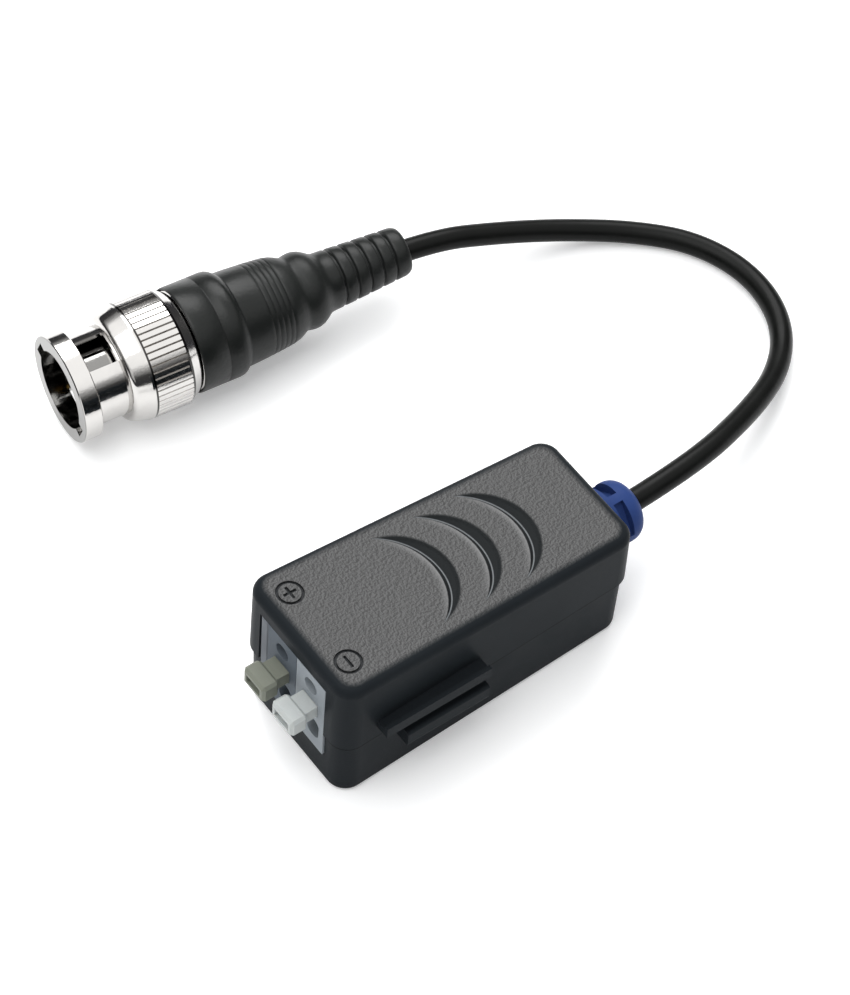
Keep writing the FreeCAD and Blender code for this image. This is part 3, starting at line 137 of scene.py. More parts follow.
def dress_nodes(nodes: Nodes, finishes: dict[str, bpy.types.Material]) -> Pieces:
    """Give each named solid its material.

    Args:
        nodes: The solids by name.
        finishes: Material of each solid, by its name.

    Returns:
        The dressed solids.
    """
    for name, material in finishes.items():
        dress(nodes[name], material)
    return [nodes[name] for name in finishes]


# Finishes


@dataclass(frozen=True)
class Canvas:
    """What a finish is drawn on.

    Attributes:
        tree: Node tree of the material.
        shader: Surface shader.
        place: Coordinates on the piece, in metres.
    """

    tree: bpy.types.NodeTree
    shader: bpy.types.Node
    place: bpy.types.NodeSocket


@dataclass(frozen=True)
class Finish:
    """One real surface, with its colours in sRGB hex and its patterns in millimetres.

    Attributes:
        title: Common name of the material and how its surface was made.
        shade: Main colour.
        rough: Roughness of the surface.
        ior: Refractive index, left at the default on metals.
        metallic: 1 on metals.
        gloss: Strength of the mirror-like part; grained and worn surfaces scatter much of it.
    """

    title: str
    shade: str
    rough: float
    ior: float = 1.5
    metallic: float = 0.0
    gloss: float = 0.5

    def material(self) -> bpy.types.Material:
        """Build the finish as a node material.

        Returns:
            The new material.
        """
        made = bpy.data.materials.new(self.title)
        made.use_nodes = True
        tree = made.node_tree
        shader = tree.nodes["Principled BSDF"]
        shader.inputs["Base Color"].default_value = colour(self.shade)
        shader.inputs["Roughness"].default_value = self.rough
        shader.inputs["Metallic"].default_value = self.metallic
        if not self.metallic:
            shader.inputs["IOR"].default_value = self.ior
            shader.inputs["Specular IOR Level"].default_value = self.gloss
        self.detail(Canvas(tree, shader, add_node(tree, "TexCoord").outputs["Object"]))
        return made

    def detail(self, canvas: Canvas) -> None:
        """Add what the eye sees of the surface; each finish has its own."""

    def mottle(self, canvas: Canvas, patch: float, other: str, spread: float) -> None:
        """Drift the colour and the gloss a little, as in real mouldings.

        Args:
            canvas: Tree, shader and coordinates.
            patch: Width of a patch.
            other: Second colour.
            spread: How far the roughness strays.
        """
        tree, shader = canvas.tree, canvas.shader
        low, high = NOISE_RANGE
        noise = add_node(tree, "TexNoise", None, {
            "Vector": canvas.place, "Scale": per_mm(patch), "Detail": 3.0})
        mix = add_node(tree, "Mix", {"data_type": "RGBA"}, {
            "Factor": noise.outputs["Fac"], 6: colour(self.shade), 7: colour(other)})
        tree.links.new(mix.outputs[2], shader.inputs["Base Color"])
        rough = add_node(tree, "MapRange", None, {
            "Value": noise.outputs["Fac"], "From Min": low, "From Max": high,
            "To Min": self.rough - spread, "To Max": self.rough + spread})
        tree.links.new(rough.outputs["Result"], shader.inputs["Roughness"])

    def relief(self, canvas: Canvas, height: bpy.types.NodeSocket, depth: float) -> None:
        """Bump the surface by a height pattern, depth in millimetres."""
        bump = add_node(canvas.tree, "Bump", None, {"Height": height, "Distance": depth * MM, "Strength": 1.0})
        canvas.tree.links.new(bump.outputs["Normal"], canvas.shader.inputs["Normal"])


@dataclass(frozen=True)
class SparkedAbs(Finish):
    """ABS from a mould whose top was spark eroded: a grained grey panel inside a satin black box.

    The grain breaks the light into small soft bumps, so the panel reads lighter than the sides: its colour is
    painted a lighter grey, with light and shade painted on the bumps' flanks and highlights painted in the
    crescents.

    Attributes:
        shaded_flank_colour: Painted shade on the grain's flanks turned from the light.
        lit_flank_colour: Painted light on the grain's flanks turned to the light.
        crease_highlight: Painted highlight along the bottom of each crescent.
        groove_shade: Walls of the crescents.
        lip_highlight: Painted highlight on the soft edge that each crescent turns to the light.
        joint_shade: Thin shadow where the two shells meet.
        side_shade: Second colour of the sides.
        satin: Width of a patch on the sides.
        grain: Width of a bump; the real one is finer than the render can show.
        grain_depth: Height of the bumps.
        flank: Step from a bump's crown to its lit flank, along and across the box.
        contrast: Steepness of a flank at which its painted light and shade reach full strength.
        skin: Width of the fine skin over all of the box.
        skin_share: Height of that skin as a share of the bumps'.
        scatter: How much rougher the grained panel is than the sides.
        half_length: Reach of the panel from the middle of the box, along it.
        half_width: Reach of the panel from the middle of the box, across it.
        corner: Rounding of the panel's corners.
        fade: Half the width over which the grain dies out.
        taper: Degrees by which the box narrows.
        slope: Degrees by which the top falls.
        panel_height: Height of the panel's plane over the middle of the box.
        top_height: Height above which all is the box's top.
        sunk: Depths below the panel between which its colour gives way in a mark's recess.
        recess: Share of the panel's colour left in a recess.
        joint: Heights at which the shadow between the shells starts to fade, and ends.
        crowns: Foremost point of each crescent along the box.
        span: Half the distance between a crescent's tips.
        reach: Distance from tips to crown along the box.
        width: Widest part of a crescent.
        crease: Share of the width ahead of the crease.
        crease_highlight_strength: Strength of the painted highlight in the crease.
        lip_highlight_strength: Strength of the painted highlight on the lip.
    """

    shaded_flank_colour: str = "#474747"
    lit_flank_colour: str = "#636363"
    crease_highlight: str = "#787b7d"
    groove_shade: str = "#232526"
    lip_highlight: str = "#7e7e7e"
    joint_shade: str = "#07090a"
    side_shade: str = "#23272a"
    satin: float = 7.0
    grain: float = 0.34
    grain_depth: float = 0.16
    flank: tuple[float, float] = (-0.08, 0.1)
    contrast: float = 0.14
    skin: float = 0.25
    skin_share: float = 0.06
    scatter: float = 0.2
    half_length: float = 19.2
    half_width: float = 7.85
    corner: float = 1.5
    fade: float = 0.35
    taper: float = 1.5
    slope: float = 4.0
    panel_height: float = 18.67
    top_height: float = 15.0
    sunk: tuple[float, float] = (0.1, 0.22)
    recess: float = 0.25
    joint: tuple[float, float] = (9.16, 9.26)
    crowns: tuple[float, ...] = (0.3, 5.95, 11.6)
    span: float = 6.75
    reach: float = 5.8
    width: float = 2.1
    crease: float = 0.68
    crease_highlight_strength: float = 0.9
    lip_highlight_strength: float = 0.8

    def panel_mask(self, canvas: Canvas) -> bpy.types.NodeSocket:
        """Find the grained panel.

        Args:
            canvas: Tree, shader and coordinates.

        Returns:
            A mask of 1 on the panel, fading out at its edge and low in the marks' recesses.
        """
        tree = canvas.tree
        axes = add_node(tree, "SeparateXYZ", None, {0: canvas.place}).outputs
        values: dict[str, Linkable] = {
            "x": axes["X"], "y": axes["Y"], "z": axes["Z"],
            "taper": math.tan(math.radians(self.taper)), "slope": math.tan(math.radians(self.slope)),
            "flat_y": (self.half_width - self.corner) * MM, "flat_x": (self.half_length - self.corner) * MM,
            "zero": 0.0, "two": 2.0,
        }
        # Result, operation and its two values: distance past the rounded rectangle, and height over the slope
        steps = (
            ("lean", "MULTIPLY", "x", "taper"), ("y", "ABSOLUTE", "y", "zero"), ("y", "ADD", "y", "lean"),
            ("y", "SUBTRACT", "y", "flat_y"), ("y", "MAXIMUM", "y", "zero"), ("y", "POWER", "y", "two"),
            ("fall", "MULTIPLY", "x", "slope"), ("z", "ADD", "z", "fall"),
            ("x", "ABSOLUTE", "x", "zero"), ("x", "SUBTRACT", "x", "flat_x"), ("x", "MAXIMUM", "x", "zero"),
            ("x", "POWER", "x", "two"), ("away", "ADD", "x", "y"), ("away", "SQRT", "away", "zero"),
        )
        for name, operation, first, second in steps:
            values[name] = add_node(tree, "Math", {"operation": operation}, {
                0: values[first], 1: values[second]}).outputs[0]
        shallow, deep = self.sunk
        inside = add_node(tree, "MapRange", None, {
            "Value": values["away"], "From Min": (self.corner - self.fade) * MM,
            "From Max": (self.corner + self.fade) * MM, "To Min": 1.0, "To Max": 0.0}).outputs["Result"]
        high = add_node(tree, "MapRange", None, {
            "Value": values["z"], "From Min": (self.panel_height - deep) * MM,
            "From Max": (self.panel_height - shallow) * MM,
            "To Min": self.recess, "To Max": 1.0}).outputs["Result"]
        return add_node(tree, "Math", {"operation": "MULTIPLY"}, {0: inside, 1: high}).outputs[0]

    def crescent_masks(self, canvas: Canvas) -> dict[str, bpy.types.NodeSocket]:
        """Find the crescents' parts by the distance from the circles that bound them.

        Args:
            canvas: Tree, shader and coordinates.

        Returns:
            Masks of the grooves, and of the creases and lips where highlights are painted.
        """
        tree = canvas.tree
        flat = add_node(tree, "VectorMath", {"operation": "MULTIPLY"}, {
            0: canvas.place, 1: (1.0, 1.0, 0.0)}).outputs[0]
        # Share of the width at the circle, and the distances off it where the mask is 0 and where it is 1
        bands = (("outer", 0.0, 0.05, -0.2), ("inner", 1.0, -0.02, 0.08), ("line", self.crease, 0.11, 0.03),
                 ("lip", 1.0, -0.75, -0.1))
        found: dict[str, bpy.types.NodeSocket] = {}
        for crown in self.crowns:
            masks = {}
            for band, share, none, full in bands:
                rise = self.reach - share * self.width
                radius = (self.span ** 2 + rise ** 2) / (2 * rise)
                middle = ((crown - share * self.width - radius) * MM, 0.0, 0.0)
                off = add_node(tree, "VectorMath", {"operation": "DISTANCE"}, {
                    0: flat, 1: middle}).outputs["Value"]
                off = add_node(tree, "Math", {"operation": "SUBTRACT"}, {0: off, 1: radius * MM}).outputs[0]
                if band == "line":
                    off = add_node(tree, "Math", {"operation": "ABSOLUTE"}, {0: off}).outputs[0]
                low, high = sorted((none, full))
                masks[band] = add_node(tree, "MapRange", None, {
                    "Value": off, "From Min": low * MM, "From Max": high * MM,
                    "To Min": float(full == low), "To Max": float(full == high)}).outputs["Result"]
            masks["beside"] = add_node(tree, "Math", {"operation": "SUBTRACT"}, {
                0: masks["outer"], 1: masks["inner"]}).outputs[0]
            # The painted highlight on the lip fades out towards the crescent's tips
            masks["ahead"] = add_node(tree, "MapRange", None, {
                "Value": add_node(tree, "SeparateXYZ", None, {0: canvas.place}).outputs["X"],
                "From Min": (crown - self.reach) * MM, "From Max": (crown - self.width) * MM,
                "To Min": 0.0, "To Max": self.lip_highlight_strength}).outputs["Result"]
            for part, first, second in (("groove", "outer", "inner"), ("crease", "groove", "line"),
                                        ("lip", "lip", "beside"), ("lip", "lip", "ahead")):
                masks[part] = add_node(tree, "Math", {"operation": "MULTIPLY", "use_clamp": True}, {
                    0: masks[first], 1: masks[second]}).outputs[0]
            for part in ("groove", "crease", "lip"):
                found[part] = masks[part] if part not in found else add_node(
                    tree, "Math", {"operation": "MAXIMUM"}, {0: found[part], 1: masks[part]}).outputs[0]
        return found

    def detail(self, canvas: Canvas) -> None:
        """Leathery grain with painted light and shade on the panel, painted highlights in the crescents, a
        painted shadow where the shells meet, a faint satin drift on the sides.

        Args:
            canvas: Tree, shader and coordinates.
        """
        tree, shader, place = canvas.tree, canvas.shader, canvas.place
        panel = self.panel_mask(canvas)
        crescents = self.crescent_masks(canvas)
        # Two samples of one noise, a bump's flank apart, give the grain a painted lit side and a painted shaded
        # side
        flank_cells, cells = (add_node(tree, "TexNoise", None, {
            "Vector": add_node(tree, "VectorMath", None, {
                0: place, 1: (along * MM, across * MM, 0.0)}).outputs[0],
            "Scale": per_mm(self.grain), "Detail": 1.5, "Roughness": 0.5, "Distortion": 0.7})
            for along, across in (self.flank, (0.0, 0.0)))
        steep = add_node(tree, "Math", {"operation": "SUBTRACT"}, {
            0: flank_cells.outputs["Fac"], 1: cells.outputs["Fac"]})
        flank_light = add_node(tree, "MapRange", None, {
            "Value": steep.outputs[0], "From Min": -self.contrast, "From Max": self.contrast,
            "To Min": 0.0, "To Max": 1.0})
        grain_light_and_shade = add_node(tree, "Mix", {"data_type": "RGBA"}, {
            "Factor": flank_light.outputs["Result"], 6: colour(self.shaded_flank_colour), 7: colour(self.lit_flank_colour)})
        satin = add_node(tree, "TexNoise", None, {"Vector": place, "Scale": per_mm(self.satin), "Detail": 2.0})
        height = add_node(tree, "SeparateXYZ", None, {0: place}).outputs["Z"]
        joint = add_node(tree, "MapRange", None, {
            "Value": height, "From Min": self.joint[0] * MM, "From Max": self.joint[1] * MM,
            "To Min": 1.0, "To Max": 0.0})
        on_top = add_node(tree, "Math", {"operation": "GREATER_THAN"}, {0: height, 1: self.top_height * MM})
        grooved = add_node(tree, "Math", {"operation": "MULTIPLY"}, {
            0: crescents["groove"], 1: on_top.outputs[0]})
        # Painted highlight along each crescent's crease
        lit_crease = add_node(tree, "Math", {"operation": "MULTIPLY"}, {
            0: crescents["crease"], 1: self.crease_highlight_strength})
        # Painted light and shade go in with these layers: the joint's shadow, the grain's lit and shaded
        # flanks, and the highlights on the crescents' lips and creases
        layers: tuple[tuple[bpy.types.NodeSocket, Linkable], ...] = (
            (satin.outputs["Fac"], colour(self.side_shade)),
            (joint.outputs["Result"], colour(self.joint_shade)),
            (panel, grain_light_and_shade.outputs[2]),
            (crescents["lip"], colour(self.lip_highlight)),
            (grooved.outputs[0], colour(self.groove_shade)),
            (lit_crease.outputs[0], colour(self.crease_highlight)),
        )
        shade: Linkable = colour(self.shade)
        for mask, layer in layers:
            shade = add_node(tree, "Mix", {"data_type": "RGBA"}, {
                "Factor": mask, 6: shade, 7: layer}).outputs[2]
        tree.links.new(shade, shader.inputs["Base Color"])
        rough = add_node(tree, "MapRange", None, {
            "Value": panel, "From Min": 0.0, "From Max": 1.0,
            "To Min": self.rough, "To Max": self.rough + self.scatter})
        tree.links.new(rough.outputs["Result"], shader.inputs["Roughness"])
        raised = add_node(tree, "Math", {"operation": "MULTIPLY"}, {0: cells.outputs["Fac"], 1: panel})
        fine = add_node(tree, "TexNoise", None, {"Vector": place, "Scale": per_mm(self.skin), "Detail": 2.0})
        total = add_node(tree, "Math", {"operation": "MULTIPLY_ADD"}, {
            0: fine.outputs["Fac"], 1: self.skin_share, 2: raised.outputs[0]})
        self.relief(canvas, total.outputs[0], self.grain_depth)


@dataclass(frozen=True)
class MilkyPlastic(Finish):
    """Moulded polyamide and other milky plastics: slightly waxy, with light passing a little way in.

    Attributes:
        other: Second colour, of the flow marks.
        glow: Share of the light that passes into the surface.
        scatter: How far that light goes.
        tint: Share of that distance which red, green and blue light go.
        flow: Width of a flow mark.
        spread: How far the roughness strays.
        skin: Width of the moulded skin's unevenness.
        depth: Height of that unevenness.
    """

    other: str = "#9a9a9a"
    glow: float = 0.12
    scatter: float = 0.6
    tint: tuple[float, float, float] = (1.0, 0.9, 0.8)
    flow: float = 2.2
    spread: float = 0.05
    skin: float = 0.3
    depth: float = 0.012

    def detail(self, canvas: Canvas) -> None:
        """Waxy depth, faint flow marks and a soft moulded surface.

        Args:
            canvas: Tree, shader and coordinates.
        """
        shader = canvas.shader
        shader.inputs["Subsurface Weight"].default_value = self.glow
        shader.inputs["Subsurface Radius"].default_value = self.tint
        shader.inputs["Subsurface Scale"].default_value = self.scatter * MM
        self.mottle(canvas, self.flow, self.other, self.spread)
        skin = add_node(canvas.tree, "TexNoise", None, {
            "Vector": canvas.place, "Scale": per_mm(self.skin), "Detail": 2.0})
        self.relief(canvas, skin.outputs["Fac"], self.depth)


@dataclass(frozen=True)
class SoftSkin(Finish):
    """Moulded or drawn PVC, rubber and satin ABS: a low sheen, slightly uneven to the touch.

    Attributes:
        other: Second colour.
        patch: Width of a patch of sheen.
        spread: How far the roughness strays.
        skin: Width of the skin's unevenness.
        depth: Height of that unevenness.
    """

    other: str = "#2a2c2c"
    patch: float = 5.0
    spread: float = 0.06
    skin: float = 0.5
    depth: float = 0.02

    def detail(self, canvas: Canvas) -> None:
        """Uneven sheen over a fine skin.

        Args:
            canvas: Tree, shader and coordinates.
        """
        self.mottle(canvas, self.patch, self.other, self.spread)
        skin = add_node(canvas.tree, "TexNoise", None, {
            "Vector": canvas.place, "Scale": per_mm(self.skin), "Detail": 3.0})
        self.relief(canvas, skin.outputs["Fac"], self.depth)


@dataclass(frozen=True)
class PlatedMetal(Finish):
    """Bright plating on turned metal: mirror like, with faint tool marks, a slight haze, and painted shade in
    the bore, on the front rim and in the undercuts.

    Attributes:
        other: Second colour.
        haze: Width of a patch of haze.
        spread: How far the roughness strays.
        mark: Width of a tool mark.
        depth: Height of the tool marks.
        bore_rim_shade: Painted shade in the plug's bore and on its faced front rim.
        bore: Radius of the bore.
        edge: Width over which painted shade gives way to the bright plating.
        rim: Stations between which the painted shade on the faced front gives way to the bright rim.
        shadow: Colour of the undercuts at both ends of the knurl, which hold the dark.
        undercuts: Middle station and half width of each undercut.
    """

    other: str = "#cfcfd2"
    haze: float = 1.6
    spread: float = 0.04
    mark: float = 0.25
    depth: float = 0.006
    bore_rim_shade: str = "#7f7e7c"
    bore: float = 5.0
    edge: float = 0.05
    rim: tuple[float, float] = (0.03, 0.1)
    shadow: str = "#3d3c3b"
    undercuts: tuple[tuple[float, float], ...] = ((9.1, 0.1), (13.95, 0.14))

    def plating_masks(self, canvas: Canvas) -> tuple[bpy.types.NodeSocket, bpy.types.NodeSocket]:
        """Find where shade is painted on the plug, by station on its axis and radius.

        Args:
            canvas: Tree, shader and coordinates.

        Returns:
            Masks of the painted shade in the bore and on the front rim, and in the undercuts.
        """
        tree = canvas.tree
        turn = math.radians(PLUG_TURN)
        axis = (math.cos(turn), -math.sin(turn), 0.0)
        start = add_node(tree, "VectorMath", {"operation": "SUBTRACT"}, {
            0: canvas.place, 1: [value * MM for value in PLUG_RIM]}).outputs[0]
        station = add_node(tree, "VectorMath", {"operation": "DOT_PRODUCT"}, {
            0: start, 1: axis}).outputs["Value"]
        along = add_node(tree, "VectorMath", {"operation": "SCALE"}, {0: axis, "Scale": station}).outputs[0]
        radius = add_node(tree, "VectorMath", {"operation": "DISTANCE"}, {0: start, 1: along}).outputs["Value"]
        # Distance, where the mask is 1 up to, and where it has faded to 0
        bands = [(radius, self.bore, self.bore + 2 * self.edge), (station, *self.rim)]
        for middle, half in self.undercuts:
            off = add_node(tree, "Math", {"operation": "SUBTRACT"}, {0: station, 1: middle * MM}).outputs[0]
            off = add_node(tree, "Math", {"operation": "ABSOLUTE"}, {0: off}).outputs[0]
            bands.append((off, half, half + self.edge))
        masks = [add_node(tree, "MapRange", None, {
            "Value": distance, "From Min": full * MM, "From Max": none * MM,
            "To Min": 1.0, "To Max": 0.0}).outputs["Result"] for distance, full, none in bands]
        bore_rim_shade, cut = (add_node(tree, "Math", {"operation": "MAXIMUM"}, {
            0: first, 1: second}).outputs[0] for first, second in (masks[:2], masks[2:]))
        return bore_rim_shade, cut

    def detail(self, canvas: Canvas) -> None:
        """Haze that drifts, painted shade in the bore, on the front rim and in the undercuts, over a barely
        visible turned surface.

        Args:
            canvas: Tree, shader and coordinates.
        """
        tree, shader = canvas.tree, canvas.shader
        self.mottle(canvas, self.haze, self.other, self.spread)
        shade = shader.inputs["Base Color"].links[0].from_socket
        # Painted shade: darker colour in the bore, on the front rim and in the undercuts
        for mask, painted_dark in zip(self.plating_masks(canvas), (self.bore_rim_shade, self.shadow)):
            shade = add_node(tree, "Mix", {"data_type": "RGBA"}, {
                "Factor": mask, 6: shade, 7: colour(painted_dark)}).outputs[2]
        tree.links.new(shade, shader.inputs["Base Color"])
        marks = add_node(tree, "TexNoise", None, {
            "Vector": canvas.place, "Scale": per_mm(self.mark), "Detail": 2.0, "Roughness": 0.6})
        self.relief(canvas, marks.outputs["Fac"], self.depth)


@dataclass(frozen=True)
class RolledStrip(Finish):
    """Rolled or drawn metal: long fine scratches along the strip.

    Attributes:
        other: Second colour.
        patch: Width of a patch of sheen.
        spread: How far the roughness strays.
        scratch: Width of a scratch.
        stretch: Width of a scratch as a share of its length.
        depth: Depth of a scratch.
    """

    other: str = "#8f9092"
    patch: float = 3.0
    spread: float = 0.06
    scratch: float = 0.12
    stretch: float = 0.06
    depth: float = 0.008

    def detail(self, canvas: Canvas) -> None:
        """Scratches drawn along the length.

        Args:
            canvas: Tree, shader and coordinates.
        """
        self.mottle(canvas, self.patch, self.other, self.spread)
        drawn = add_node(canvas.tree, "Mapping", None, {
            "Vector": canvas.place, "Scale": (self.stretch, 1.0, 1.0)})
        lines = add_node(canvas.tree, "TexNoise", None, {
            "Vector": drawn.outputs[0], "Scale": per_mm(self.scratch), "Detail": 3.0})
        self.relief(canvas, lines.outputs["Fac"], self.depth)


@dataclass(frozen=True)
class Granular(Finish):
    """Sintered, etched or cast surface: a dull body with a fine even grain.

    Attributes:
        other: Second colour.
        grit: Width of a grain.
        clump: Width of a patch of colour, in grains.
        spread: How far the roughness strays.
        depth: Height of a grain.
    """

    other: str = "#202022"
    grit: float = 0.2
    clump: float = 3.0
    spread: float = 0.05
    depth: float = 0.015

    def detail(self, canvas: Canvas) -> None:
        """Fine grit in colour and height.

        Args:
            canvas: Tree, shader and coordinates.
        """
        self.mottle(canvas, self.grit * self.clump, self.other, self.spread)
        grains = add_node(canvas.tree, "TexVoronoi", None, {
            "Vector": canvas.place, "Scale": per_mm(self.grit)})
        self.relief(canvas, grains.outputs["Distance"], self.depth)


# Spark-eroded ABS: the light dies in a grey leathery grain on top and slides softly over the black sides
BOX_ABS = SparkedAbs("sparked black ABS", "#1d2023", 0.38, 1.54, gloss=0.02)
# The lower shell is the same ABS, satin all over
BASE_ABS = SoftSkin("satin black ABS", "#1d2023", 0.4, 1.54, gloss=0.02, other="#23272a", skin=0.25,
                    depth=0.014)
# Moulded polyamide: soft, slightly waxy greys and whites, which mark the two wires
TERMINAL_GREY = MilkyPlastic("grey moulded polyamide", "#5b6269", 0.5, 1.53, gloss=0.03, other="#545b62")
TERMINAL_WHITE = MilkyPlastic("pale moulded polyamide", "#91979c", 0.48, 1.53, gloss=0.03, other="#898f94")
END_PLATE_POLYAMIDE = MilkyPlastic("shaded moulded polyamide", "#6d7176", 0.5, 1.53, gloss=0.03,
                                   other="#666a6f")
BUTTON_GREY = MilkyPlastic("warm grey moulded polyamide", "#7b7e74", 0.46, 1.53, gloss=0.1, other="#72756a")
BUTTON_WHITE = MilkyPlastic("white moulded polyamide", "#b6bab9", 0.42, 1.53, gloss=0.12, other="#adb1b0",
                            glow=0.25)
# Blue thermoplastic rubber: saturated, with a soft highlight
RELIEF_BLUE = SoftSkin("blue moulded rubber", "#2e4275", 0.44, 1.5, gloss=0.05, other="#293b6b", skin=0.35)
# Extruded PVC jacket: one long even highlight, smoother than the moulded boot
JACKET_PVC = SoftSkin("black extruded PVC", "#0b0c0b", 0.34, 1.53, gloss=0.08, other="#101110", skin=0.6,
                      depth=0.015)
# Moulded PVC boot: a broader, more broken sheen
BOOT_PVC = SoftSkin("black moulded PVC", "#131514", 0.36, 1.53, gloss=0.18, other="#1a1c1b", skin=0.45)
# Bright nickel over turned brass: hard black and white reflections
NICKEL = PlatedMetal("bright nickel plate", "#cac8c5", 0.1, metallic=1.0, other="#bfbdbb")
# Gold flash on the contact: a warm spark in the dark bore, where painted shade darkens it
GOLD = PlatedMetal("gold flash on brass", "#d9b25f", 0.2, metallic=1.0, other="#c99e4a", bore_rim_shade="#a98a4a")
# Rolled and drawn metals: streaked, softer reflections
SPRING = RolledStrip("rolled spring steel", "#a8a8a6", 0.32, metallic=1.0)
TINNED = RolledStrip("tinned copper", "#c9c8c4", 0.36, metallic=1.0, other="#b4b3ae")
COPPER = RolledStrip("enamelled copper wire", "#a4552a", 0.25, metallic=1.0, other="#8c431f")
# Sintered, etched and moulded parts on the board: dull, with a fine grit
FERRITE = Granular("sintered ferrite", "#232325", 0.62, 1.6)
BOARD = Granular("solder resist over glass cloth", "#17573a", 0.35, 1.55, other="#124a31", grit=0.35)
CHIP_EPOXY = Granular("moulded epoxy", "#1b1b1c", 0.5, 1.55, other="#242425")
CHIP_CERAMIC = Granular("fired ceramic", "#a98a63", 0.4, 1.6, other="#9b7c56")
# Insulators: white and milky, they take the light in
PTFE = MilkyPlastic("turned fluoroplastic", "#e6e6e1", 0.5, 1.38, other="#dcdcd6", glow=0.3)
CORE_MOULDING = MilkyPlastic("natural moulded polypropylene", "#d8d3c4", 0.5, 1.49, other="#cbc6b6")
INSULATION = MilkyPlastic("drawn polyethylene", "#dedfdb", 0.4, 1.51, other="#d2d3ce")
# Moulded silicone sealing ring: dull brick red
SILICONE = SoftSkin("moulded silicone", "#7d2a20", 0.5, 1.41, other="#6f241b")


# Pieces


class Wire(Enum):
    """The two wires that the terminals take."""

    GREY = "grey"
    WHITE = "white"


@dataclass
class Housing:
    """Moulded box in two shells."""

    def build(self, nodes: Nodes) -> Pieces:
        """Dress both shells.

        Args:
            nodes: The solids by name.

        Returns:
            The dressed pieces.
        """
        return dress_nodes(nodes, {"housing_top": BOX_ABS.material(), "housing_bottom": BASE_ABS.material()})


@dataclass
class Terminals:
    """Row of two push terminals with its end plate, buttons, springs and contacts."""

    def build(self, nodes: Nodes) -> Pieces:
        """Dress the terminals; the two wires' finishes differ.

        Args:
            nodes: The solids by name.

        Returns:
            The dressed pieces.
        """
        finishes = {Wire.GREY: (TERMINAL_GREY, BUTTON_GREY), Wire.WHITE: (TERMINAL_WHITE, BUTTON_WHITE)}
        spring, tinned = SPRING.material(), TINNED.material()
        made: Pieces = []
        for wire, (block, button) in finishes.items():
            made += dress_nodes(nodes, {
                "terminal_" + wire.value: block.material(), "button_" + wire.value: button.material(),
                "clamp_leaf_" + wire.value: spring, "contact_" + wire.value: tinned})
        return made + dress_nodes(nodes, {"terminal_end_plate": END_PLATE_POLYAMIDE.material()})


@dataclass
class Board:
    """Circuit board with the transformer and its small parts."""

    def build(self, nodes: Nodes) -> Pieces:
        """Dress what lies inside the box.

        Args:
            nodes: The solids by name.

        Returns:
            The dressed pieces.
        """
        copper, epoxy = COPPER.material(), CHIP_EPOXY.material()
        return dress_nodes(nodes, {
            "circuit_board": BOARD.material(), "ferrite_core": FERRITE.material(),
            "winding_pair_side": copper, "winding_coax_side": copper,
            "surge_diode": epoxy, "matching_resistor": epoxy, "coupling_capacitor": CHIP_CERAMIC.material(),
            "lead_core": INSULATION.material(), "lead_screen": TINNED.material(),
        })


@dataclass
class Lead:
    """Short coaxial lead and its strain relief.

    Attributes:
        diameter: Jacket.
        length: From the strain relief to the plug's moulding, along the lead; not used.
        route: Corners of the route that the lead follows.
    """

    diameter: float = 2.8
    length: float = 111.2
    route: tuple[Point, ...] = (
        (19.0, 0.0, 8.4),
        (34.8, 0.0, 8.4),
        (50.0, 4.7, 4.8),
        (58.5, 9.4, 2.4),
        (63.4, 15.5, 1.6),
        (64.7, 23.1, 1.4),
        (62.2, 30.6, 1.4),
        (56.9, 36.2, 1.4),
        (49.8, 40.4, 2.3),
        (42.0, 43.1, 4.3),
        (31.3, 45.58, 7.25),
        (20.61, 46.75, 7.25),
    )

    def build(self, nodes: Nodes) -> Pieces:
        """Lay the lead on its route and dress the strain relief.

        Args:
            nodes: The solids by name.

        Returns:
            The lead and the strain relief.
        """
        curve = bpy.data.curves.new("lead", "CURVE")
        curve.dimensions = "3D"
        curve.bevel_depth = self.diameter / 2 * MM
        curve.bevel_resolution = 8
        curve.resolution_u = 16
        curve.use_fill_caps = True
        spline = curve.splines.new("NURBS")
        spline.points.add(len(self.route) - 1)
        for point, corner in zip(spline.points, self.route):
            point.co = (*(value * MM for value in corner), 1.0)
        spline.order_u = 3
        spline.use_endpoint_u = True
        lead = link_object("lead_jacket", curve)
        dress(lead, JACKET_PVC.material())
        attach(lead, "balun")
        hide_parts("cable")
        return [lead] + dress_nodes(nodes, {"strain_relief": RELIEF_BLUE.material()})


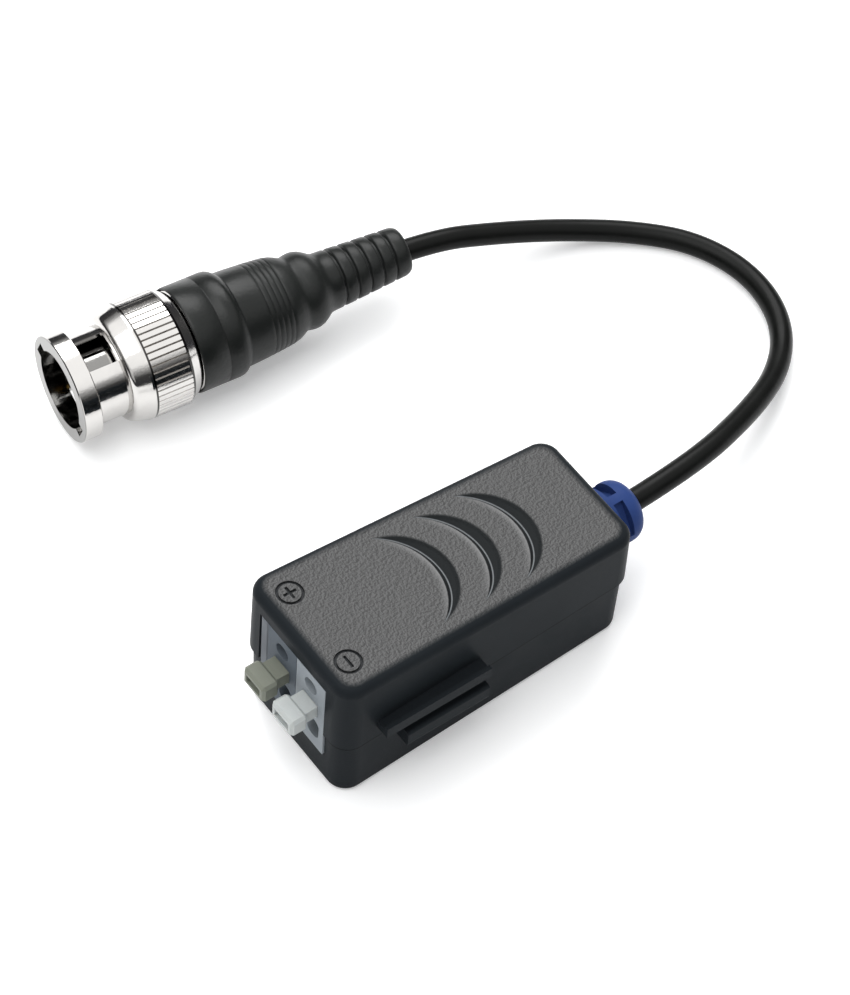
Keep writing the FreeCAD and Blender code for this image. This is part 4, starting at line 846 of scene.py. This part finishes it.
@dataclass
class Plug:
    """Bayonet plug and its moulded boot; stations run back from the front rim.

    Attributes:
        bore: Inside radius of the boot over its core.
        lip_bore: Inside radius of the lip that the boot has round the metal collar.
        collar_end: Station of the collar's back.
        core_end: Station of the back of the core that the boot is moulded on.
        tail_bore: Inside radius behind the core.
        jacket: Radius of the lead in the tail.
        jacket_start: Station from which the tail is moulded on the lead.
        stations: Outer outline of the boot, station and radius.
        ring_lines: Stations of the fine rings moulded into the boot.
        ring_half: Half the width of such a ring.
        ring_depth: Depth of such a ring.
        rib_start: Station of the tail's first rib.
        rib_pitch: From one rib to the next.
        rib_count: Number of ribs.
        rib_radius: Radius over the first rib.
        rib_taper: Fall of that radius for each millimetre back.
        rib_steps: Outline of one rib, from its start and from the radius over it.
        tip: Station of the tail's end.
        tip_steps: Outline of the rounded end, from the tip and in radius.
        sides: Flat sides that stand for a full turn.
        sharp: Degrees from which an edge is shown sharp.
    """

    bore: float = 4.62
    lip_bore: float = 6.47
    collar_end: float = 16.43
    core_end: float = 28.42
    tail_bore: float = 2.22
    jacket: float = 1.42
    jacket_start: float = 38.22
    stations: tuple[tuple[float, float], ...] = (
        (15.6, 6.5), (15.66, 6.58), (15.8, 6.62), (16.0, 6.64), (19.0, 6.64), (19.1, 6.54),
        (19.2, 6.54), (19.3, 6.64), (20.9, 6.65), (21.3, 6.6), (21.7, 6.42), (22.0, 6.16),
        (22.2, 5.97), (22.35, 5.96), (23.6, 5.9), (25.2, 5.8), (26.8, 5.67), (28.2, 5.53),
        (28.9, 5.43), (29.5, 5.28), (30.0, 5.06), (30.5, 4.8), (30.8, 4.68), (31.05, 4.68),
        (31.5, 4.78), (32.0, 4.84), (32.5, 4.82), (33.1, 4.64), (33.7, 4.3), (34.3, 3.88),
        (34.8, 3.72), (35.4, 3.69), (36.1, 3.66),
    )
    ring_lines: tuple[float, ...] = (25.6, 26.3, 27.0, 27.7, 28.4)
    ring_half: float = 0.14
    ring_depth: float = 0.07
    rib_start: float = 36.1
    rib_pitch: float = 1.8
    rib_count: int = 5
    rib_radius: float = 3.66
    rib_taper: float = 0.0625
    rib_steps: tuple[tuple[float, float], ...] = (
        (0.12, -0.06), (0.2, -0.33), (0.42, -0.35), (0.56, -0.12), (0.7, -0.05), (1.8, -0.11))
    tip: float = 45.8
    tip_steps: tuple[tuple[float, float], ...] = ((-0.35, 3.0), (-0.1, 2.86), (0.0, 2.6))
    sides: int = 96
    sharp: float = 50.0

    def outline(self) -> list[tuple[float, float]]:
        """Outer and inner outline of the boot as station and radius.

        Returns:
            A closed outline, front to tail outside and back inside.
        """
        outer: list[tuple[float, float]] = []
        for station, radius in self.stations:
            while outer and any(outer[-1][0] < line < station for line in self.ring_lines):
                line = min(value for value in self.ring_lines if value > outer[-1][0])
                share = (line - outer[-1][0]) / (station - outer[-1][0])
                level = outer[-1][1] + (radius - outer[-1][1]) * share
                outer += [(line - self.ring_half, level), (line, level - self.ring_depth),
                          (line + self.ring_half, level)]
            outer.append((station, radius))
        for index in range(self.rib_count):
            behind = self.rib_pitch * index
            outer += [(self.rib_start + behind + step, self.rib_radius - self.rib_taper * behind + rise)
                      for step, rise in self.rib_steps]
        outer += [(self.tip + step, radius) for step, radius in self.tip_steps]
        inner = [(self.tip, self.jacket), (self.jacket_start, self.jacket), (self.jacket_start, self.tail_bore),
                 (self.core_end, self.tail_bore), (self.core_end, self.bore), (self.collar_end, self.bore),
                 (self.collar_end, self.lip_bore), (self.stations[0][0], self.lip_bore)]
        return outer + inner

    def lathe(self, name: str, outline: list[tuple[float, float]]) -> bpy.types.Object:
        """Turn a closed outline about the plug's axis into a closed mesh.

        Args:
            name: Name of the piece.
            outline: Station and radius of each corner.

        Returns:
            The new piece, in place.
        """
        place = Matrix.Translation(Vector(PLUG_RIM) * MM) @ Matrix.Rotation(math.radians(-PLUG_TURN), 4, "Z")
        points, faces = [], []
        count = len(outline)
        for side in range(self.sides):
            angle = 2 * math.pi * side / self.sides
            for station, radius in outline:
                spot = Vector((station, radius * math.cos(angle), radius * math.sin(angle))) * MM
                points.append(place @ spot)
        for side in range(self.sides):
            here, there = side * count, (side + 1) % self.sides * count
            for index in range(count):
                follow = (index + 1) % count
                faces.append((here + index, here + follow, there + follow, there + index))
        mesh = bpy.data.meshes.new(name)
        mesh.from_pydata(points, [], faces)
        mesh.shade_smooth()
        mesh.set_sharp_from_angle(angle=math.radians(self.sharp))
        return link_object(name, mesh)

    def build(self, nodes: Nodes) -> Pieces:
        """Turn the boot and dress the metal pieces.

        Args:
            nodes: The solids by name.

        Returns:
            The boot and all pieces of the plug.
        """
        skin = self.lathe("boot_moulding", self.outline())
        dress(skin, BOOT_PVC.material())
        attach(skin, "balun")
        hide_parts("boot")
        nickel, steel = NICKEL.material(), SPRING.material()
        return [skin] + dress_nodes(nodes, {
            "coupling_nut": nickel, "plug_body": nickel, "plug_pin": GOLD.material(),
            "plug_insulator": PTFE.material(), "plug_gasket": SILICONE.material(),
            "spring_washer": steel, "thrust_washer": steel, "inner_moulding": CORE_MOULDING.material(),
        })


# Studio


@dataclass(frozen=True)
class Lamp:
    """Soft rectangular lamp aimed at the object.

    Attributes:
        name: What it does.
        place: Where it hangs.
        size: Width and height.
        power: Watts.
        target: Point that it faces.
    """

    name: str
    place: Point
    size: tuple[float, float]
    power: float
    target: Point = (20.0, 20.0, 8.0)

    def build(self) -> None:
        """Hang the lamp and aim it."""
        light = bpy.data.lights.new(self.name, "AREA")
        light.shape = "RECTANGLE"
        light.size, light.size_y = (value * MM for value in self.size)
        light.energy = self.power
        lamp = link_object(self.name, light)
        lamp.location = Vector(self.place) * MM
        lamp.rotation_euler = (Vector(self.target) - Vector(self.place)).to_track_quat("-Z", "Y").to_euler()


@dataclass
class Studio:
    """Pale floor, soft lamps and the camera.

    Attributes:
        floor_shade: Colour of the floor.
        floor_reach: From the middle of the floor to its sides.
        floor_rough: Roughness of the floor.
        floor_glow: What the floor adds for the camera and for mirrors, so that it looks pale in them.
        even: Colour and strength of the light on matt surfaces.
        backdrop: Strength of what the camera sees behind the floor.
        mirrored: Strength of the studio that metal mirrors.
        ceiling: Levels of that studio, from straight down at 0 to straight up at 1.
        focal: Focal length in pixels.
        centre: Where the optical axis meets the frame, in pixels.
        frame: Width and height of the frame in pixels.
        eye: Place of the camera.
        heading: Turn of the view about the vertical, in degrees from +Y.
        tilt: Degrees by which the view is raised from straight down.
        roll: Turn of the camera about its own axis, in degrees.
        sensor: Size of the sensor's longer side.
        lamps: The soft lamps.
    """

    floor_shade: str = "#f4f4f4"
    floor_reach: float = 3000.0
    floor_rough: float = 0.9
    floor_glow: float = 0.25
    even: tuple[Colour, float] = ((0.97, 0.985, 1.0, 1.0), 0.55)
    backdrop: float = 1.0
    mirrored: float = 1.6
    ceiling: tuple[tuple[float, Colour], ...] = (
        (0.0, (0.03, 0.03, 0.035, 1.0)),
        (1.0, (1.0, 1.0, 1.0, 1.0)),
        (0.3, (0.04, 0.04, 0.04, 1.0)),
        (0.5, (0.35, 0.35, 0.35, 1.0)),
        (0.62, (0.95, 0.95, 0.95, 1.0)),
    )
    focal: float = 3651.92
    centre: tuple[float, float] = (417.75, 449.17)
    frame: tuple[int, int] = (850, 995)
    eye: Point = (-153.288, -174.164, 342.488)
    heading: float = -40.317
    tilt: float = 37.303
    roll: float = 4.912
    sensor: float = 36.0
    lamps: tuple[Lamp, ...] = (
        Lamp("key_softbox", (280.0, 420.0, 550.0), (550.0, 450.0), 4.2),
        Lamp("top_softbox", (-180.0, 50.0, 620.0), (500.0, 500.0), 2.6),
        Lamp("side_fill", (-500.0, -500.0, 280.0), (400.0, 300.0), 0.2),
    )

    def floor(self) -> None:
        """Lay the floor: pale to the camera and to glossy rays, and it keeps the object's shadow."""
        mesh = bpy.data.meshes.new("studio_floor")
        corners = [(x * self.floor_reach * MM, y * self.floor_reach * MM, 0.0)
                   for x, y in ((-1, -1), (1, -1), (1, 1), (-1, 1))]
        mesh.from_pydata(corners, [], [(0, 1, 2, 3)])
        floor = link_object("studio_floor", mesh)
        made = bpy.data.materials.new("pale studio floor")
        made.use_nodes = True
        tree = made.node_tree
        shader = tree.nodes["Principled BSDF"]
        shader.inputs["Base Color"].default_value = colour(self.floor_shade)
        shader.inputs["Roughness"].default_value = self.floor_rough
        path = add_node(tree, "LightPath").outputs
        seen = path["Is Camera Ray"]
        for other in ("Is Glossy Ray", "Is Transmission Ray"):
            seen = add_node(tree, "Math", {"operation": "MAXIMUM"}, {0: seen, 1: path[other]}).outputs[0]
        glow = add_node(tree, "Emission", None, {"Color": (1.0, 1.0, 1.0, 1.0), "Strength": self.floor_glow})
        both = add_node(tree, "AddShader", None, {0: shader.outputs[0], 1: glow.outputs[0]})
        mix = add_node(tree, "MixShader", None, {0: seen, 1: shader.outputs[0], 2: both.outputs[0]})
        tree.links.new(mix.outputs[0], tree.nodes["Material Output"].inputs["Surface"])
        dress(floor, made)

    def sky(self) -> None:
        """Even light for matt surfaces; a dim horizon and a bright ceiling for the metal to mirror."""
        world = bpy.data.worlds.new("studio")
        bpy.context.scene.world = world
        world.use_nodes = True
        tree = world.node_tree
        tree.nodes.clear()
        place = add_node(tree, "TexCoord").outputs["Generated"]
        height = add_node(tree, "SeparateXYZ", None, {0: place}).outputs["Z"]
        ramp = add_node(tree, "ValToRGB", None, {0: height})
        stops = ramp.color_ramp.elements
        # A new ramp has two stops, which are its ends
        for index, (position, level) in enumerate(self.ceiling):
            stop = stops[index] if index < 2 else stops.new(position)
            stop.position, stop.color = position, level
        path = add_node(tree, "LightPath").outputs
        shade, strength = self.even
        even = add_node(tree, "Background", None, {"Color": shade, "Strength": strength})
        studio = add_node(tree, "Background", None, {"Color": ramp.outputs["Color"], "Strength": self.mirrored})
        white = add_node(tree, "Background", None, {"Color": (1.0, 1.0, 1.0, 1.0), "Strength": self.backdrop})
        mirrored = add_node(tree, "MixShader", None, {
            0: path["Is Glossy Ray"], 1: even.outputs[0], 2: studio.outputs[0]})
        seen = add_node(tree, "MixShader", None, {
            0: path["Is Camera Ray"], 1: mirrored.outputs[0], 2: white.outputs[0]})
        output = add_node(tree, "OutputWorld")
        tree.links.new(seen.outputs[0], output.inputs["Surface"])

    def camera(self) -> None:
        """Set the camera where the view was taken from."""
        data = bpy.data.cameras.new("camera")
        longer = max(self.frame)
        data.sensor_width = self.sensor
        data.lens = self.focal * self.sensor / longer
        data.shift_x = (self.frame[0] / 2 - self.centre[0]) / longer
        data.shift_y = (self.centre[1] - self.frame[1] / 2) / longer
        camera = link_object("camera", data)
        pose = Matrix.Translation(Vector(self.eye) * MM)
        for angle, axis in ((self.heading, "Z"), (self.tilt, "X"), (self.roll, "Z")):
            pose = pose @ Matrix.Rotation(math.radians(angle), 4, axis)
        camera.matrix_world = pose
        bpy.context.scene.camera = camera

    def build(self) -> None:
        """Set up everything round the object."""
        self.floor()
        self.sky()
        for lamp in self.lamps:
            lamp.build()
        self.camera()
        bpy.context.scene.view_settings.view_transform = "Standard"


def main() -> None:
    """Load the solids, dress them, and set up the studio."""
    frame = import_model()
    nodes = frame["nodes"]
    Studio().build()
    lead = Lead()
    assemblies = {"lead": lead, "housing": Housing(), "terminals": Terminals(), "board": Board(),
                  "plug": Plug()}
    pieces = {title: assembly.build(nodes) for title, assembly in assemblies.items()}
    for title, made in pieces.items():
        for piece in made:
            log.info("%s: piece %s", title, piece.name)


if __name__ == "__main__":
    main()
